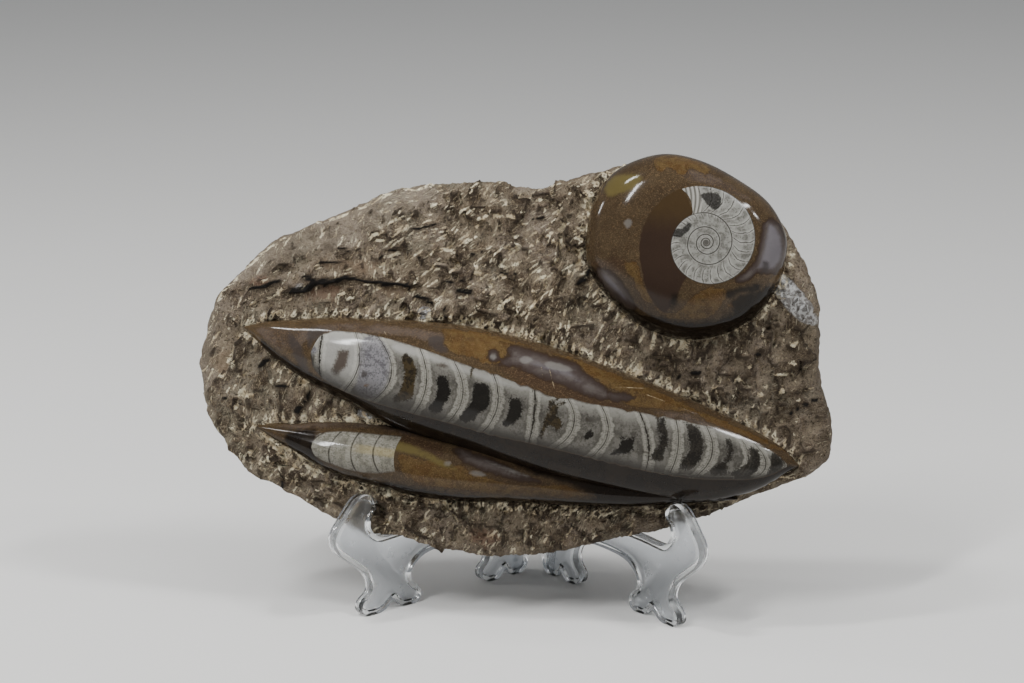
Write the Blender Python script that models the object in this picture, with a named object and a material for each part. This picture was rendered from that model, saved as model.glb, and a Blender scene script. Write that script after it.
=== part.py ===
"""A carved limestone plaque with polished orthoceras and goniatite fossils, leaning on a
clear folding easel.  The slab, each fossil and each half of the easel is an object of its own.

Lengths are in millimetres until a mesh is made.  The slab is laid out on its own face:
u runs to the right, v runs up the face and w comes out of it.  The easel halves are laid out
as plates: r is the distance from the hinge pin and z is the height."""
import bpy
import bmesh
from math import cos, sin, pi, radians, atan2, tau
from mathutils import Matrix, Vector, noise
import numpy as np

MM = 0.001
GAP = 0.3                        # clearance left between neighbouring pieces

# ---- where things stand
LEAN = radians(15)               # the slab leans back by this much
HINGE = Vector((5.1, 36.6, 0))   # the easel's hinge pin, seen from above
FACE_ORIGIN = Vector((0.3, -7.0, 100.8))   # u = v = w = 0
FACE_AXES = Matrix(((1, 0, 0), (0, sin(LEAN), cos(LEAN)), (0, -cos(LEAN), sin(LEAN)))).transposed()

# ---- slab
SLAB_THICKNESS = 24.5
SLAB_MIDDLE = (5.0, -20.0)
SLAB_POINTS = 84                 # points round each ring of the slab's mesh
SLAB_OUTLINE = [
    (-117.8, -13), (-116.2, 2), (-111.6, 14), (-103, 24.4), (-92.6, 34.4), (-83, 39.4), (-70, 44.4),
    (-60, 49), (-50, 54), (-38, 56.5), (-22, 58), (-8, 59), (0, 56.8), (11, 57.6), (24, 62),
    (36, 65), (46, 67.5), (58, 68.4), (72, 64.2), (84, 58), (93, 50.5), (100, 41.5), (106, 30.5),
    (110.6, 19), (111.8, 4), (112.6, -12), (116, -22), (117.4, -32), (116.6, -39), (110, -46),
    (98, -50.8), (84, -57), (68, -63.4), (54, -68.2), (36, -72.4), (18, -77), (4, -78.8),
    (-10, -79.4), (-26, -77), (-44, -74.2), (-57, -71.8), (-68, -66), (-82, -59), (-97, -51),
    (-107.4, -41), (-114.2, -30)]
# size of each ring against the outline, and its level: front, edge, then back
FRONT_RINGS = [(0.25, 0), (0.4, 0), (0.52, 0), (0.63, 0), (0.73, 0), (0.82, 0), (0.9, -0.2),
               (0.96, -1.4)]
EDGE_RINGS = [(0.992, -4.5), (1.0, -9.0), (0.985, -15.0), (0.955, -20.5)]
BACK_RINGS = [(0.90, -24.0), (0.66, -24.5), (0.35, -24.5)]
SEAT_HEIGHT = 29.9               # the underside is dressed to this height over the easel arms
SEAT_HALF_WIDTH, SEAT_SHOULDER = 7.0, 7.0   # half the seat's width, and the slope beside it
SEAT_TOP = -55.0                 # only the part of the slab below this is dressed
BELLY_HEIGHT = 22.6              # the lowest the underside hangs between the arms

# ---- polished ridges: position along the ridge, upper rim, lower rim, height
BIG_START, BIG_END = (-100.0, 2.5), (105.0, -42.0)
BIG_RIDGE = [
    (0, 0.3, -0.3, 0.6), (7, 3.8, -4.8, 4.6), (18, 7.3, -10.4, 8.2), (31, 11.2, -14.8, 11.2),
    (45, 14.1, -18.2, 13.6), (60, 17.2, -22.0, 15.2), (75, 19.4, -23.8, 16.2),
    (92, 20.6, -25.0, 16.8), (110, 20.2, -27.0, 17.0), (128, 18.6, -27.8, 16.8),
    (146, 16.5, -27.0, 16.0), (163, 13.9, -25.4, 14.4), (178, 11.2, -22.6, 12.2),
    (190, 8.4, -17.6, 9.6), (200, 5.4, -11.2, 6.6), (206, 2.8, -5.2, 3.6), (210, -0.4, -1.2, 0.8)]
SMALL_START, SMALL_END = (-94.0, -33.7), (84.0, -53.5)
SMALL_RIDGE = [
    (0, 0.2, -0.4, 0.5), (6.5, 1.4, -4.2, 3.4), (15, 3.2, -7.6, 5.8), (25, 4.8, -12.0, 8.2),
    (36, 6.0, -14.8, 9.8), (48, 6.6, -16.2, 10.8), (62, 7.0, -17.8, 11.2), (80, 6.5, -17.2, 11.2),
    (100, 5.0, -14.9, 10.6), (120, 3.0, -13.1, 9.6), (140, 1.0, -10.6, 8.0), (158, -0.5, -7.0, 5.6),
    (170, -1.0, -4.4, 3.4), (179, -1.8, -2.4, 0.5)]
RIDGE_ROUND = 2.4                # roundness of a ridge's cross-section
RIDGE_FOOT = -6.0                # how deep a ridge is rooted in the slab

# ---- orthoceras shells set in the ridges: position along the ridge, upper and lower edge
BIG_SHELL = [
    (28.3, -2.2, -3.6), (29.4, 2.0, -6.6), (32.8, 5.5, -10.2), (40, 7.6, -13.2), (52, 8.6, -15.1),
    (68, 8.0, -15.8), (84, 6.3, -16.0), (100, 4.8, -16.5), (115, 3.0, -16.0), (130, 3.2, -15.9),
    (148, 4.0, -15.9), (163, 5.0, -15.4), (174, 5.3, -14.4), (186, 4.6, -12.0), (196, 2.9, -9.2),
    (203, 0.9, -5.4), (206.2, -1.2, -2.4)]
SMALL_SHELL = [
    (22.4, -2.6, -5.4), (23.4, -0.6, -7.2), (26, 0.9, -8.8), (31, 2.1, -10.2), (39, 2.8, -11.4),
    (47, 3.1, -11.2), (55, 3.5, -9.4)]
SHELL_DEPTH = 0.34               # depth of a shell below the polish, against its width
SHELL_WALL = 0.8                 # straight wall at a shell's edge, above its round underside

# ---- round boss and goniatite
BOSS_MIDDLE = (62.6, 35.4)
BOSS_HEIGHT = 15.0
BOSS_OUTLINE = [
    (25.8, 34), (28, 51), (36.5, 63.2), (52, 69.4), (67, 67.4), (82, 60), (93, 51.5), (99.2, 39),
    (97.8, 26), (91.5, 13.8), (80, 5.2), (64, 1.6), (48, 5.8), (35.5, 15.5), (28, 25)]
BOSS_RINGS = [0.25, 0.5, 0.72, 0.87, 0.95, 1.0]
COIL_MIDDLE = (70.4, 36.4)
COIL_RADIUS = 20.4               # outer whorl straight above the middle
COIL_GROWTH = 1.9                # each whorl is this much bigger than the one inside it
MOUTH_ANGLE = radians(-26)       # the mouth of the shell, clockwise from straight up
COIL_DEPTH = 5.0

# ---- easel
PLATE_ANGLE = radians(41.7)      # each half stands this far off the middle line
RIM_THICKNESS = 4.4
WEB_RECESS = 0.9                 # the web is thinner than the rim by this much on each side
RIM_WIDTH = 1.7
UPRIGHT_FOOT = 58.2              # front edge of the upright, carried down to the ground
UPRIGHT_SLOPE = 0.359            # how far that edge runs back for each unit of height
KNUCKLE_RADIUS, PIN_RADIUS = 4.0, 1.6
KNUCKLE_LEVELS = [20.0, 28.0, 28.3, 43.7, 44.0, 52.0]   # bottom and top of the three knuckles
PIN_REACH = 4.5
PLATE_OUTLINE = [
    (81.6, 0), (86.6, 0), (89.4, 2.6), (88.6, 5.8), (85.2, 8.4), (84.4, 11.6), (87, 16.4), (93.4, 21.6),
    (99, 26.2), (101.4, 31), (100.4, 35.2), (97.4, 38.8), (94.2, 42.4), (90.8, 45.6), (87, 46.6),
    (83.4, 45.2), (81.8, 42.2), (82.6, 39.3), (84.8, 37), (85, 33.8), (82.4, 30.5), (77.6, 28.8),
    (66, 29.2), (52, 29.4), (47.4, 30.2), (45.6, 33.4), (43.6, 40), (36.4, 60), (29.2, 80), (24, 94.2),
    (21.6, 98.6), (17.6, 99.8), (14.2, 97), (13.8, 92.6), (16.6, 84), (21.4, 72), (22.4, 63.4),
    (18.4, 57.4), (11, 54), (6.4, 51), (5.2, 47), (5.2, 34), (5.2, 21), (5.6, 12), (6.6, 4), (8.6, 0.8),
    (10.4, 0), (14.4, 0), (16.6, 1.8), (17.9, 3.7), (19.8, 2), (22.4, 0), (26.6, 0), (29.6, 2),
    (30, 5.2), (27.2, 8.2), (26.4, 11.8), (29, 16.2), (35, 18.9), (46, 19.5), (57, 18.8), (63, 16.2),
    (66, 12.2), (65.2, 8.9), (62.8, 7), (61, 4.4), (61.8, 1.3), (64.4, 0), (69, 0), (71.6, 1.6),
    (73.4, 3.8), (75.8, 2.8), (78.4, 0.9)]


def interpolate(table, along, column):
    """A smooth value from a table whose first column rises."""
    positions = [row[0] for row in table]
    values = [row[column] for row in table]
    slopes = np.gradient(values, positions)
    index = int(np.clip(np.searchsorted(positions, along) - 1, 0, len(table) - 2))
    span = positions[index + 1] - positions[index]
    t = min(max((along - positions[index]) / span, 0), 1)
    rise = values[index + 1] - values[index]
    bend_a = slopes[index] * span - rise
    bend_b = rise - slopes[index + 1] * span
    return values[index] + t * rise + t * (1 - t) * ((1 - t) * bend_a + t * bend_b)


def smooth_closed(points, steps):
    """A closed curve through the points, with steps points from each to the next."""
    count = len(points)
    curve = []
    for i in range(count):
        before, start, end, after = (np.array(points[(i + k) % count], float) for k in (-1, 0, 1, 2))
        for k in range(steps):
            t = k / steps
            curve.append(0.5 * ((2 * start) + (end - before) * t
                                + (2 * before - 5 * start + 4 * end - after) * t ** 2
                                + (3 * start - before - 3 * end + after) * t ** 3))
    return np.array(curve)


def drop_straight(points, tolerance):
    """The same closed curve without the points that lie within tolerance of its chords."""
    kept, start = [], 0
    while start < len(points):
        kept.append(points[start])
        end = start + 1
        while end + 1 <= len(points):
            chord = points[(end + 1) % len(points)] - points[start]
            offsets = points[start + 1:end + 1] - points[start]
            turn = chord[0] * offsets[:, 1] - chord[1] * offsets[:, 0]
            if len(turn) == 0 or np.abs(turn).max() > tolerance * np.linalg.norm(chord):
                break
            end += 1
        start = end
    return np.array(kept)


def even_spacing(curve, count):
    """The same closed curve with its points evenly spaced."""
    closed = np.vstack([curve, curve[:1]])
    lengths = np.concatenate([[0], np.cumsum(np.linalg.norm(np.diff(closed, axis=0), axis=1))])
    wanted = np.linspace(0, lengths[-1], count, endpoint=False)
    return np.stack([np.interp(wanted, lengths, closed[:, k]) for k in (0, 1)], axis=1)


def on_face(u, v, w):
    return FACE_ORIGIN + FACE_AXES @ Vector((u, v, w))


class Ridge:
    """A boat-shaped ridge: a runs along it and b runs across it, up the face."""

    def __init__(self, start, end, table):
        self.start = np.array(start)
        self.length = float(np.linalg.norm(np.subtract(end, start)))
        self.along = np.subtract(end, start) / self.length
        self.across = np.array([-self.along[1], self.along[0]])
        self.table = table

    def place(self, a, b):
        return self.start + self.along * a + self.across * b

    def height(self, a, b):
        upper, lower, top = (interpolate(self.table, a, column) for column in (1, 2, 3))
        across = min(abs(2 * (upper - b) / (upper - lower) - 1), 1)
        return top * (1 - across ** RIDGE_ROUND) ** 0.5


def make_object(name, bm, colour, roughness, see_through=False):
    bmesh.ops.triangulate(bm, faces=[f for f in bm.faces if len(f.verts) > 4], ngon_method="EAR_CLIP")
    bmesh.ops.recalc_face_normals(bm, faces=bm.faces)
    mesh = bpy.data.meshes.new(name)
    bmesh.ops.scale(bm, vec=(MM, MM, MM), verts=bm.verts)
    bm.to_mesh(mesh)
    bm.free()
    thing = bpy.data.objects.new(name, mesh)
    bpy.context.collection.objects.link(thing)
    material = bpy.data.materials.new(name)
    material.use_nodes = True
    shader = material.node_tree.nodes["Principled BSDF"]
    shader.inputs["Base Color"].default_value = (*colour, 1)
    shader.inputs["Roughness"].default_value = roughness
    shader.inputs["Metallic"].default_value = 0
    if see_through:
        shader.inputs["Transmission Weight"].default_value = 1
        shader.inputs["IOR"].default_value = 1.49
    mesh.materials.append(material)
    return thing


def skin_rings(rings):
    """A closed mesh through rings of points; a ring of one point is a pole."""
    bm = bmesh.new()
    rows = [[bm.verts.new(p) for p in ring] for ring in rings]
    for low, high in zip(rows, rows[1:]):
        count = max(len(low), len(high))
        for i in range(count):
            j = (i + 1) % count
            corners = [low[i % len(low)], low[j % len(low)], high[j % len(high)], high[i % len(high)]]
            bm.faces.new(list(dict.fromkeys(corners)))
    for end in (rows[0], rows[-1]):
        if len(end) > 1:
            bm.faces.new(end)
    return bm


def combine(thing, other, operation):
    """Join the other object to the thing, or cut it out, and remove the other."""
    boolean = thing.modifiers.new(operation.title(), "BOOLEAN")
    boolean.operation = operation
    boolean.solver = "EXACT"
    boolean.object = other
    result = bpy.data.meshes.new_from_object(thing.evaluated_get(bpy.context.evaluated_depsgraph_get()))
    thing.modifiers.clear()
    old = thing.data
    thing.data = result
    bpy.data.meshes.remove(old)
    bpy.data.objects.remove(other)


def rough(u, v, size, seed):
    return noise.noise(Vector((u / size, v / size, seed)))


def seat_level(point):
    """Lowest height of the slab's underside: dressed level over an arm, lower between them."""
    across, back = abs(point.x - HINGE.x), HINGE.y - point.y
    off_arm = abs(across * cos(PLATE_ANGLE) - back * sin(PLATE_ANGLE))
    drop = min(max((off_arm - SEAT_HALF_WIDTH) / SEAT_SHOULDER, 0), 1)
    return SEAT_HEIGHT - (SEAT_HEIGHT - BELLY_HEIGHT) * drop * drop * (3 - 2 * drop)


def make_slab(ridges):
    outline = even_spacing(smooth_closed(SLAB_OUTLINE, 6), SLAB_POINTS)
    middle = np.array(SLAB_MIDDLE)

    def ring(size, level, wobble, push=0.0):
        points = []
        for corner in outline:
            u, v = middle + (corner - middle) * size
            scatter = 1 + push * rough(u, v, 9, level)
            u, v = middle + (np.array([u, v]) - middle) * scatter
            w = level + wobble * rough(u, v, 13, 1.5) + 0.6 * wobble * rough(u, v, 6, 4.5)
            point = on_face(u, v, min(w, 1.5) if level > -9 else max(w, -SLAB_THICKNESS))
            if v < SEAT_TOP:
                point.z = max(point.z, seat_level(point))
            points.append(point)
        return points

    rings = [[on_face(*middle, 0)]]
    rings += [ring(size, level, 1.3) for size, level in FRONT_RINGS]
    rings += [ring(size, level, 0.8, 0.012) for size, level in EDGE_RINGS]
    rings += [ring(size, level, 0.9) for size, level in BACK_RINGS]
    rings += [[on_face(*middle, -SLAB_THICKNESS)]]
    slab = make_object("limestone_slab", skin_rings(rings), (0.28, 0.22, 0.16), 0.75)
    for ridge, count in zip(ridges, (26, 20)):
        combine(slab, make_ridge(ridge, count), "UNION")
    combine(slab, make_boss(), "UNION")
    return slab


def make_ridge(ridge, count):
    """The solid of a ridge, rooted in the slab."""
    last = ridge.table[-1][0]
    stations = [last * (0.5 - 0.5 * cos(pi * k / count)) for k in range(count + 1)]
    rings = []
    for a in stations:
        upper, lower = (interpolate(ridge.table, a, column) for column in (1, 2))
        ring = []
        for k in range(11):
            b = 0.5 * (upper + lower) + 0.5 * (upper - lower) * cos(pi * k / 10)
            ring.append(on_face(*ridge.place(a, b), ridge.height(a, b)))
        ring.append(on_face(*ridge.place(a, lower), RIDGE_FOOT))
        ring.append(on_face(*ridge.place(a, upper), RIDGE_FOOT))
        rings.append(ring)
    return make_object("ridge", skin_rings(rings), (0.3, 0.2, 0.1), 0.2)


def make_shell_body(name, ridge, table, count, grow, above):
    """A tapered shell lying in its ridge, its top following the ridge's polished surface."""
    first, last = table[0][0], table[-1][0]
    rings = []
    for k in range(count + 1):
        a = first + (last - first) * (0.5 - 0.5 * cos(pi * k / count))
        upper, lower = (interpolate(table, a, column) for column in (1, 2))
        a += grow * (-1 if k == 0 else 1 if k == count else 0)
        upper, lower = upper + grow, lower - grow
        half = 0.5 * (upper - lower)
        ring = []
        for j in range(7):
            b = 0.5 * (upper + lower) + half * cos(pi * j / 6)
            ring.append(on_face(*ridge.place(a, b), ridge.height(a, b) + above))
        edge_level = min(ridge.height(a, upper), ridge.height(a, lower)) - SHELL_WALL
        for j in range(7):
            b = 0.5 * (upper + lower) - half * cos(pi * j / 6)
            depth = (2 * half * SHELL_DEPTH + grow) * sin(pi * j / 6)
            ring.append(on_face(*ridge.place(a, b), edge_level - depth))
        rings.append(ring)
    return make_object(name, skin_rings(rings), (0.62, 0.6, 0.5), 0.2)


def boss_reach(angle):
    """Distance from the boss's middle to its outline."""
    curve = smooth_closed(BOSS_OUTLINE, 6) - np.array(BOSS_MIDDLE)
    angles = np.arctan2(curve[:, 1], curve[:, 0])
    order = np.argsort(angles)
    return float(np.interp(angle, angles[order], np.hypot(*curve.T)[order], period=tau))


def boss_height(u, v):
    du, dv = u - BOSS_MIDDLE[0], v - BOSS_MIDDLE[1]
    share = min(np.hypot(du, dv) / boss_reach(atan2(dv, du)), 1)
    return BOSS_HEIGHT * (1 - share ** 5) ** 0.5 - 1.6 * share ** 2 + 0.6


def make_boss():
    outline = even_spacing(smooth_closed(BOSS_OUTLINE, 6), 40)
    middle = np.array(BOSS_MIDDLE)
    rings = [[on_face(*middle, boss_height(*middle))]]
    for size in BOSS_RINGS:
        points = [middle + (corner - middle) * size for corner in outline]
        rings.append([on_face(u, v, boss_height(u, v)) for u, v in points])
    rings.append([on_face(u, v, -8) for u, v in outline])
    return make_object("boss", skin_rings(rings), (0.3, 0.2, 0.1), 0.2)


def make_goniatite(name, grow, above):
    """The coiled shell: one turn of a growing spiral, closed by the mouth."""
    turns = 36
    outline = []
    for k in range(turns + 1):
        angle = MOUTH_ANGLE + tau * k / turns
        radius = COIL_RADIUS * COIL_GROWTH ** (-angle / tau) + grow
        if k in (0, turns):
            angle -= grow / radius
        outline.append((COIL_MIDDLE[0] + radius * sin(angle), COIL_MIDDLE[1] + radius * cos(angle)))
    middle = np.array(COIL_MIDDLE)
    rings = [[on_face(*middle, boss_height(*middle) + above)]]
    for size in (0.35, 0.7, 1.0):
        points = [middle + (np.array(corner) - middle) * size for corner in outline]
        rings.append([on_face(u, v, boss_height(u, v) + above) for u, v in points])
    rings.append([on_face(u, v, boss_height(u, v) - COIL_DEPTH - grow) for u, v in points])
    rings.append([on_face(*middle, boss_height(*middle) - COIL_DEPTH - grow)])
    return make_object(name, skin_rings(rings), (0.62, 0.6, 0.5), 0.2)


def upright_edge(z):
    return UPRIGHT_FOOT - UPRIGHT_SLOPE * z


def cylinder(radius, bottom, top):
    bm = bmesh.new()
    bmesh.ops.create_cone(bm, cap_ends=True, segments=20, radius1=radius, radius2=radius,
                          depth=top - bottom, matrix=Matrix.Translation((0, 0, (top + bottom) / 2)))
    return make_object("cylinder", bm, (1, 1, 1), 0.1, True)


def block(low, high):
    bm = bmesh.new()
    bmesh.ops.create_cube(bm, size=1)
    size = Vector(high) - Vector(low)
    bmesh.ops.transform(bm, verts=bm.verts,
                        matrix=Matrix.Translation((Vector(low) + Vector(high)) / 2) @ Matrix.Diagonal((*size, 1)))
    return make_object("block", bm, (1, 1, 1), 0.1, True)


def make_plate(name):
    """One flat half of the easel, with its toes, hook and upright, and a raised rim."""
    outline = drop_straight(smooth_closed(PLATE_OUTLINE, 3), 0.16)
    bm = bmesh.new()
    corners = []
    for r, z in outline:
        z = max(z, 0)
        if z > 31:
            r = min(r, upright_edge(z)) if r < 60 else r
        corners.append(bm.verts.new((r, -RIM_THICKNESS / 2, z)))
    face = bm.faces.new(corners)
    grown = bmesh.ops.extrude_face_region(bm, geom=[face])
    lifted = [v for v in grown["geom"] if isinstance(v, bmesh.types.BMVert)]
    bmesh.ops.translate(bm, verts=lifted, vec=(0, RIM_THICKNESS, 0))
    bmesh.ops.recalc_face_normals(bm, faces=bm.faces)
    for side in [f for f in bm.faces if len(f.verts) > 4]:
        bmesh.ops.inset_region(bm, faces=[side], thickness=RIM_WIDTH, depth=0, use_even_offset=True)
        bmesh.ops.inset_region(bm, faces=[side], thickness=WEB_RECESS * 0.4, depth=-WEB_RECESS,
                               use_even_offset=True)
    return make_object(name, bm, (0.9, 0.92, 0.95), 0.08, True)


def add_knuckle(plate, bottom, top):
    combine(plate, block((0, -RIM_THICKNESS / 2, bottom), (7, RIM_THICKNESS / 2, top)), "UNION")
    combine(plate, cylinder(KNUCKLE_RADIUS, bottom, top), "UNION")


def place_half(plate, side):
    """Turn a plate about the hinge pin: side is -1 for the left half, 1 for the right."""
    turn = Matrix.Rotation(side * PLATE_ANGLE - pi / 2, 4, "Z")
    plate.data.transform(turn)
    plate.location = HINGE * MM
    return plate


def make_easel():
    low, low_top, mid, mid_top, high, high_top = KNUCKLE_LEVELS
    left = make_plate("stand_left")
    add_knuckle(left, low, low_top)
    add_knuckle(left, high, high_top)
    combine(left, cylinder(PIN_RADIUS, low_top - 1, low_top + PIN_REACH), "UNION")
    combine(left, cylinder(PIN_RADIUS, high - PIN_REACH, high + 1), "UNION")
    right = make_plate("stand_right")
    add_knuckle(right, mid, mid_top)
    combine(right, cylinder(PIN_RADIUS + GAP, mid - 1, mid_top + 1), "DIFFERENCE")
    return place_half(left, -1), place_half(right, 1)


def main():
    for old in list(bpy.data.objects):
        bpy.data.objects.remove(old)
    big = Ridge(BIG_START, BIG_END, BIG_RIDGE)
    small = Ridge(SMALL_START, SMALL_END, SMALL_RIDGE)
    slab = make_slab((big, small))
    combine(slab, make_shell_body("pocket", big, BIG_SHELL, 20, GAP, 4.0), "DIFFERENCE")
    combine(slab, make_shell_body("pocket", small, SMALL_SHELL, 9, GAP, 4.0), "DIFFERENCE")
    combine(slab, make_goniatite("pocket", GAP, 4.0), "DIFFERENCE")
    make_shell_body("large_orthoceras", big, BIG_SHELL, 20, 0.0, 0.0)
    make_shell_body("small_orthoceras", small, SMALL_SHELL, 9, 0.0, 0.0)
    make_goniatite("goniatite", 0.0, 0.0)
    make_easel()


main()
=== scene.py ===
"""Looks of the carved fossil plaque: chiselled stone, two polished ridges and a polished boss, the
fossils inlaid in them, and the clear folding easel.

Lengths are in millimetres until a mesh is finished.  On the slab's face u runs to the right, v runs
up and w comes out of it.  Along a ridge, a runs from its left tip and b runs across it, upwards."""
from math import cos, pi, radians, sin, tau

import bmesh
import bpy
import numpy as np
from mathutils import Matrix, Vector, noise
from mathutils.kdtree import KDTree


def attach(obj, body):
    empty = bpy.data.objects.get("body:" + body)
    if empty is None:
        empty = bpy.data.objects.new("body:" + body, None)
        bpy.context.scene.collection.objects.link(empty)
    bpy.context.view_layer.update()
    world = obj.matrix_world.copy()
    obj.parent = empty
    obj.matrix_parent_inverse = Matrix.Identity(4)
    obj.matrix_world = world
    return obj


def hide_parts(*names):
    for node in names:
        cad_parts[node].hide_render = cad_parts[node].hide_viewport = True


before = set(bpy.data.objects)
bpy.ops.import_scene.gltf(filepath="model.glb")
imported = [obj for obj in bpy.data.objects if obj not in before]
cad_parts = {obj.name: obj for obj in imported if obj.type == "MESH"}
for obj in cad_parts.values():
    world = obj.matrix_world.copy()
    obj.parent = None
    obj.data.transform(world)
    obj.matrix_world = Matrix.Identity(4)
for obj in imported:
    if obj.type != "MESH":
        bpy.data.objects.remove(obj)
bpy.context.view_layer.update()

MM = 0.001

# ---- where things stand, as in the solids
LEAN = radians(15)
HINGE = np.array((5.1, 36.6, 0.0))
FACE_ORIGIN = np.array((0.3, -7.0, 100.8))
FACE_AXES = np.array(((1, 0, 0), (0, sin(LEAN), cos(LEAN)), (0, -cos(LEAN), sin(LEAN))))   # u, v, w

# ---- slab
SLAB_WIDTH, SLAB_HEIGHT, SLAB_THICKNESS = 235, 147, 24.5
SLAB_MIDDLE = (5.0, -20.0)
SLAB_OUTLINE = [
    (-117.8, -13), (-116.2, 2), (-111.6, 14), (-103, 24.4), (-92.6, 34.4), (-83, 39.4), (-70, 44.4),
    (-60, 49), (-50, 54), (-38, 56.5), (-22, 58), (-8, 59), (0, 56.8), (11, 57.6), (24, 62),
    (36, 65), (46, 67.5), (58, 68.4), (72, 64.2), (84, 58), (93, 50.5), (100, 41.5), (106, 30.5),
    (110.6, 19), (111.8, 4), (112.6, -12), (116, -22), (117.4, -32), (116.6, -39), (110, -46),
    (98, -50.8), (84, -57), (68, -63.4), (54, -68.2), (36, -72.4), (18, -77), (4, -78.8),
    (-10, -79.4), (-26, -77), (-44, -74.2), (-57, -71.8), (-68, -66), (-82, -59), (-97, -51),
    (-107.4, -41), (-114.2, -30)]
FRONT_PROFILE = [(0, 0), (0.82, 0), (0.9, -0.2), (0.96, -1.4), (0.985, -3.6)]   # size, level
WALL_PROFILE = [(0, 0.985, -3.6), (0.25, 1.0, -9), (0.55, 0.985, -15), (0.85, 0.955, -20.5),
                (1, 0.9, -24)]           # share of the way back, size, level
SEAT_HEIGHT, BELLY_HEIGHT = 29.9, 22.6
SEAT_HALF_WIDTH, SEAT_SHOULDER = 7.0, 7.0
SEAT_TOP = -55.0
ROCK_CELL = 1.35                         # spacing of the slab's mesh before its front is refined
FRONT_CUTS = 2                           # further cuts of each cell of the chiselled ground
WALL_CUTS = 18
LIP_START = 0.985                        # share of the way out beyond which there are no tool marks
CHISEL_STROKES, SHORT_STROKES, BRUISES = 620, 700, 8
PUNCH_SPACING = 3.8                      # of the painted punches along a rim
FACET_AREA = 235 * 145                   # has one facet, on average, for each square of its size
FOOT_RIM = 60                            # keeps the chalky rim of a polished piece off its side walls

# ---- polished ridges: position along, upper rim, lower rim, height
BIG_START, BIG_END = (-100.0, 2.5), (105.0, -42.0)
BIG_RIDGE = [
    (0, 0.3, -0.3, 0.6), (7, 3.8, -4.8, 4.6), (18, 7.3, -10.4, 8.2), (31, 11.2, -14.8, 11.2),
    (45, 14.1, -18.2, 13.6), (60, 17.2, -22.0, 15.2), (75, 19.4, -23.8, 16.2),
    (92, 20.6, -25.0, 16.8), (110, 20.2, -27.0, 17.0), (128, 18.6, -27.8, 16.8),
    (146, 16.5, -27.0, 16.0), (163, 13.9, -25.4, 14.4), (178, 11.2, -22.6, 12.2),
    (190, 8.4, -17.6, 9.6), (200, 5.4, -11.2, 6.6), (206, 2.8, -5.2, 3.6), (210, -0.4, -1.2, 0.8)]
SMALL_START, SMALL_END = (-94.0, -33.7), (84.0, -53.5)
SMALL_RIDGE = [
    (0, 0.5, -0.7, 2.2), (6.5, 1.8, -4.2, 4.0), (15, 3.2, -7.6, 6.0), (25, 4.8, -12.0, 8.2),
    (36, 6.0, -14.8, 9.8), (48, 6.6, -16.2, 10.8), (62, 7.0, -17.8, 11.2), (80, 6.5, -17.2, 11.2),
    (100, 5.0, -14.9, 10.6), (120, 3.0, -13.1, 9.6), (140, 1.0, -10.6, 8.0), (158, -0.5, -7.0, 5.6),
    (170, -1.0, -4.4, 3.4), (179, -1.8, -2.4, 0.5)]
BIG_ROUNDNESS, SMALL_ROUNDNESS = 2.4, 2.0       # 2 is an ellipse, more is flatter on top
BIG_LEAN, SMALL_LEAN = 1.0, 1.4         # above 1 the crest lies nearer the lower rim
RIDGE_FOOT = -4.0

# ---- shells in the ridges: position along, upper edge, lower edge
BIG_SHELL = [
    (28.3, -2.2, -3.6), (29.4, 2.0, -6.6), (32.8, 5.5, -10.2), (40, 7.6, -13.2), (52, 8.6, -15.1),
    (68, 8.0, -15.8), (84, 6.3, -16.0), (100, 4.8, -16.5), (115, 3.0, -16.0), (130, 3.2, -15.9),
    (148, 4.0, -15.9), (163, 5.0, -15.4), (174, 5.3, -14.4), (186, 4.6, -12.0), (196, 2.9, -9.2),
    (203, 0.9, -5.4), (206.2, -1.2, -2.4)]
SMALL_SHELL = [
    (22.4, -2.6, -5.4), (23.4, -0.6, -7.2), (26, 0.9, -8.8), (31, 2.1, -10.2), (39, 2.8, -11.4),
    (47, 3.1, -11.2), (55, 3.5, -9.4)]
SHELL_DEPTH, SHELL_WALL = 0.34, 0.8
INLAY = 0.05                             # an inlaid fossil stands this proud of the polish
BIG_SEPTA = [            # along, across: each chamber wall of the large shell from above to below
    [(30.5, 5), (31.5, 1.5), (32, -4.5), (32.5, -8.5), (34, -12)],
    [(43, 7.5), (45.5, 3.5), (47, -3), (46.5, -8.5), (44, -13)],
    [(50, 9), (55.5, 5), (59, -1.5), (59, -8.5), (55.5, -14)],
    [(68.5, 6.5), (71.5, 2.5), (73, -5.5), (72.5, -12)],
    [(82, 5), (85.5, 0.5), (87, -6.5), (86, -12)],
    [(95.5, 5.5), (98, 3), (100, -5.5), (99, -12.5)],
    [(111.5, 4), (113.5, 0.5), (114, -4), (113.5, -9), (115, -15)],
    [(125, 2.5), (128, -2.5), (128.5, -9), (125.5, -13.5)],
    [(136.5, 3.5), (140.5, -2), (141, -6.5), (140, -11.5)],
    [(151, 3.5), (154.5, -0.5), (156.5, -7), (158, -15.5)],
    [(163.5, 5.5), (166.5, -2.5), (167, -8), (166.5, -13)],
    [(174.5, 5.5), (179, -2), (179, -6), (177, -11)],
    [(188.5, 3.5), (192.5, -1.5), (192, -6), (189.5, -10.5)],
    [(194, 2.5), (198.5, -1.5), (198.5, -4.5), (197, -8)],
    [(203.5, 0.5), (205.5, -2), (203.5, -5)]]
CRACKED_SEPTA = (0, 6, 9)
SMALL_SEPTA = [
    [(25.5, 0.5), (23, -1.5), (22.5, -4.5), (23, -8), (25.5, -9.5)],
    [(32, 2), (30.5, -1), (29, -4), (29.5, -7), (30, -9.5)],
    [(39, 2.5), (37.5, -0.5), (37.5, -4), (38, -7.5), (40, -11)],
    [(47.5, 3.5), (46, 1), (45.5, -2), (46, -5), (48, -9.5)],
    [(55.5, 3.5), (54, 1), (54, -2.5), (54.5, -5.5), (56.5, -8.5)]]

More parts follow.
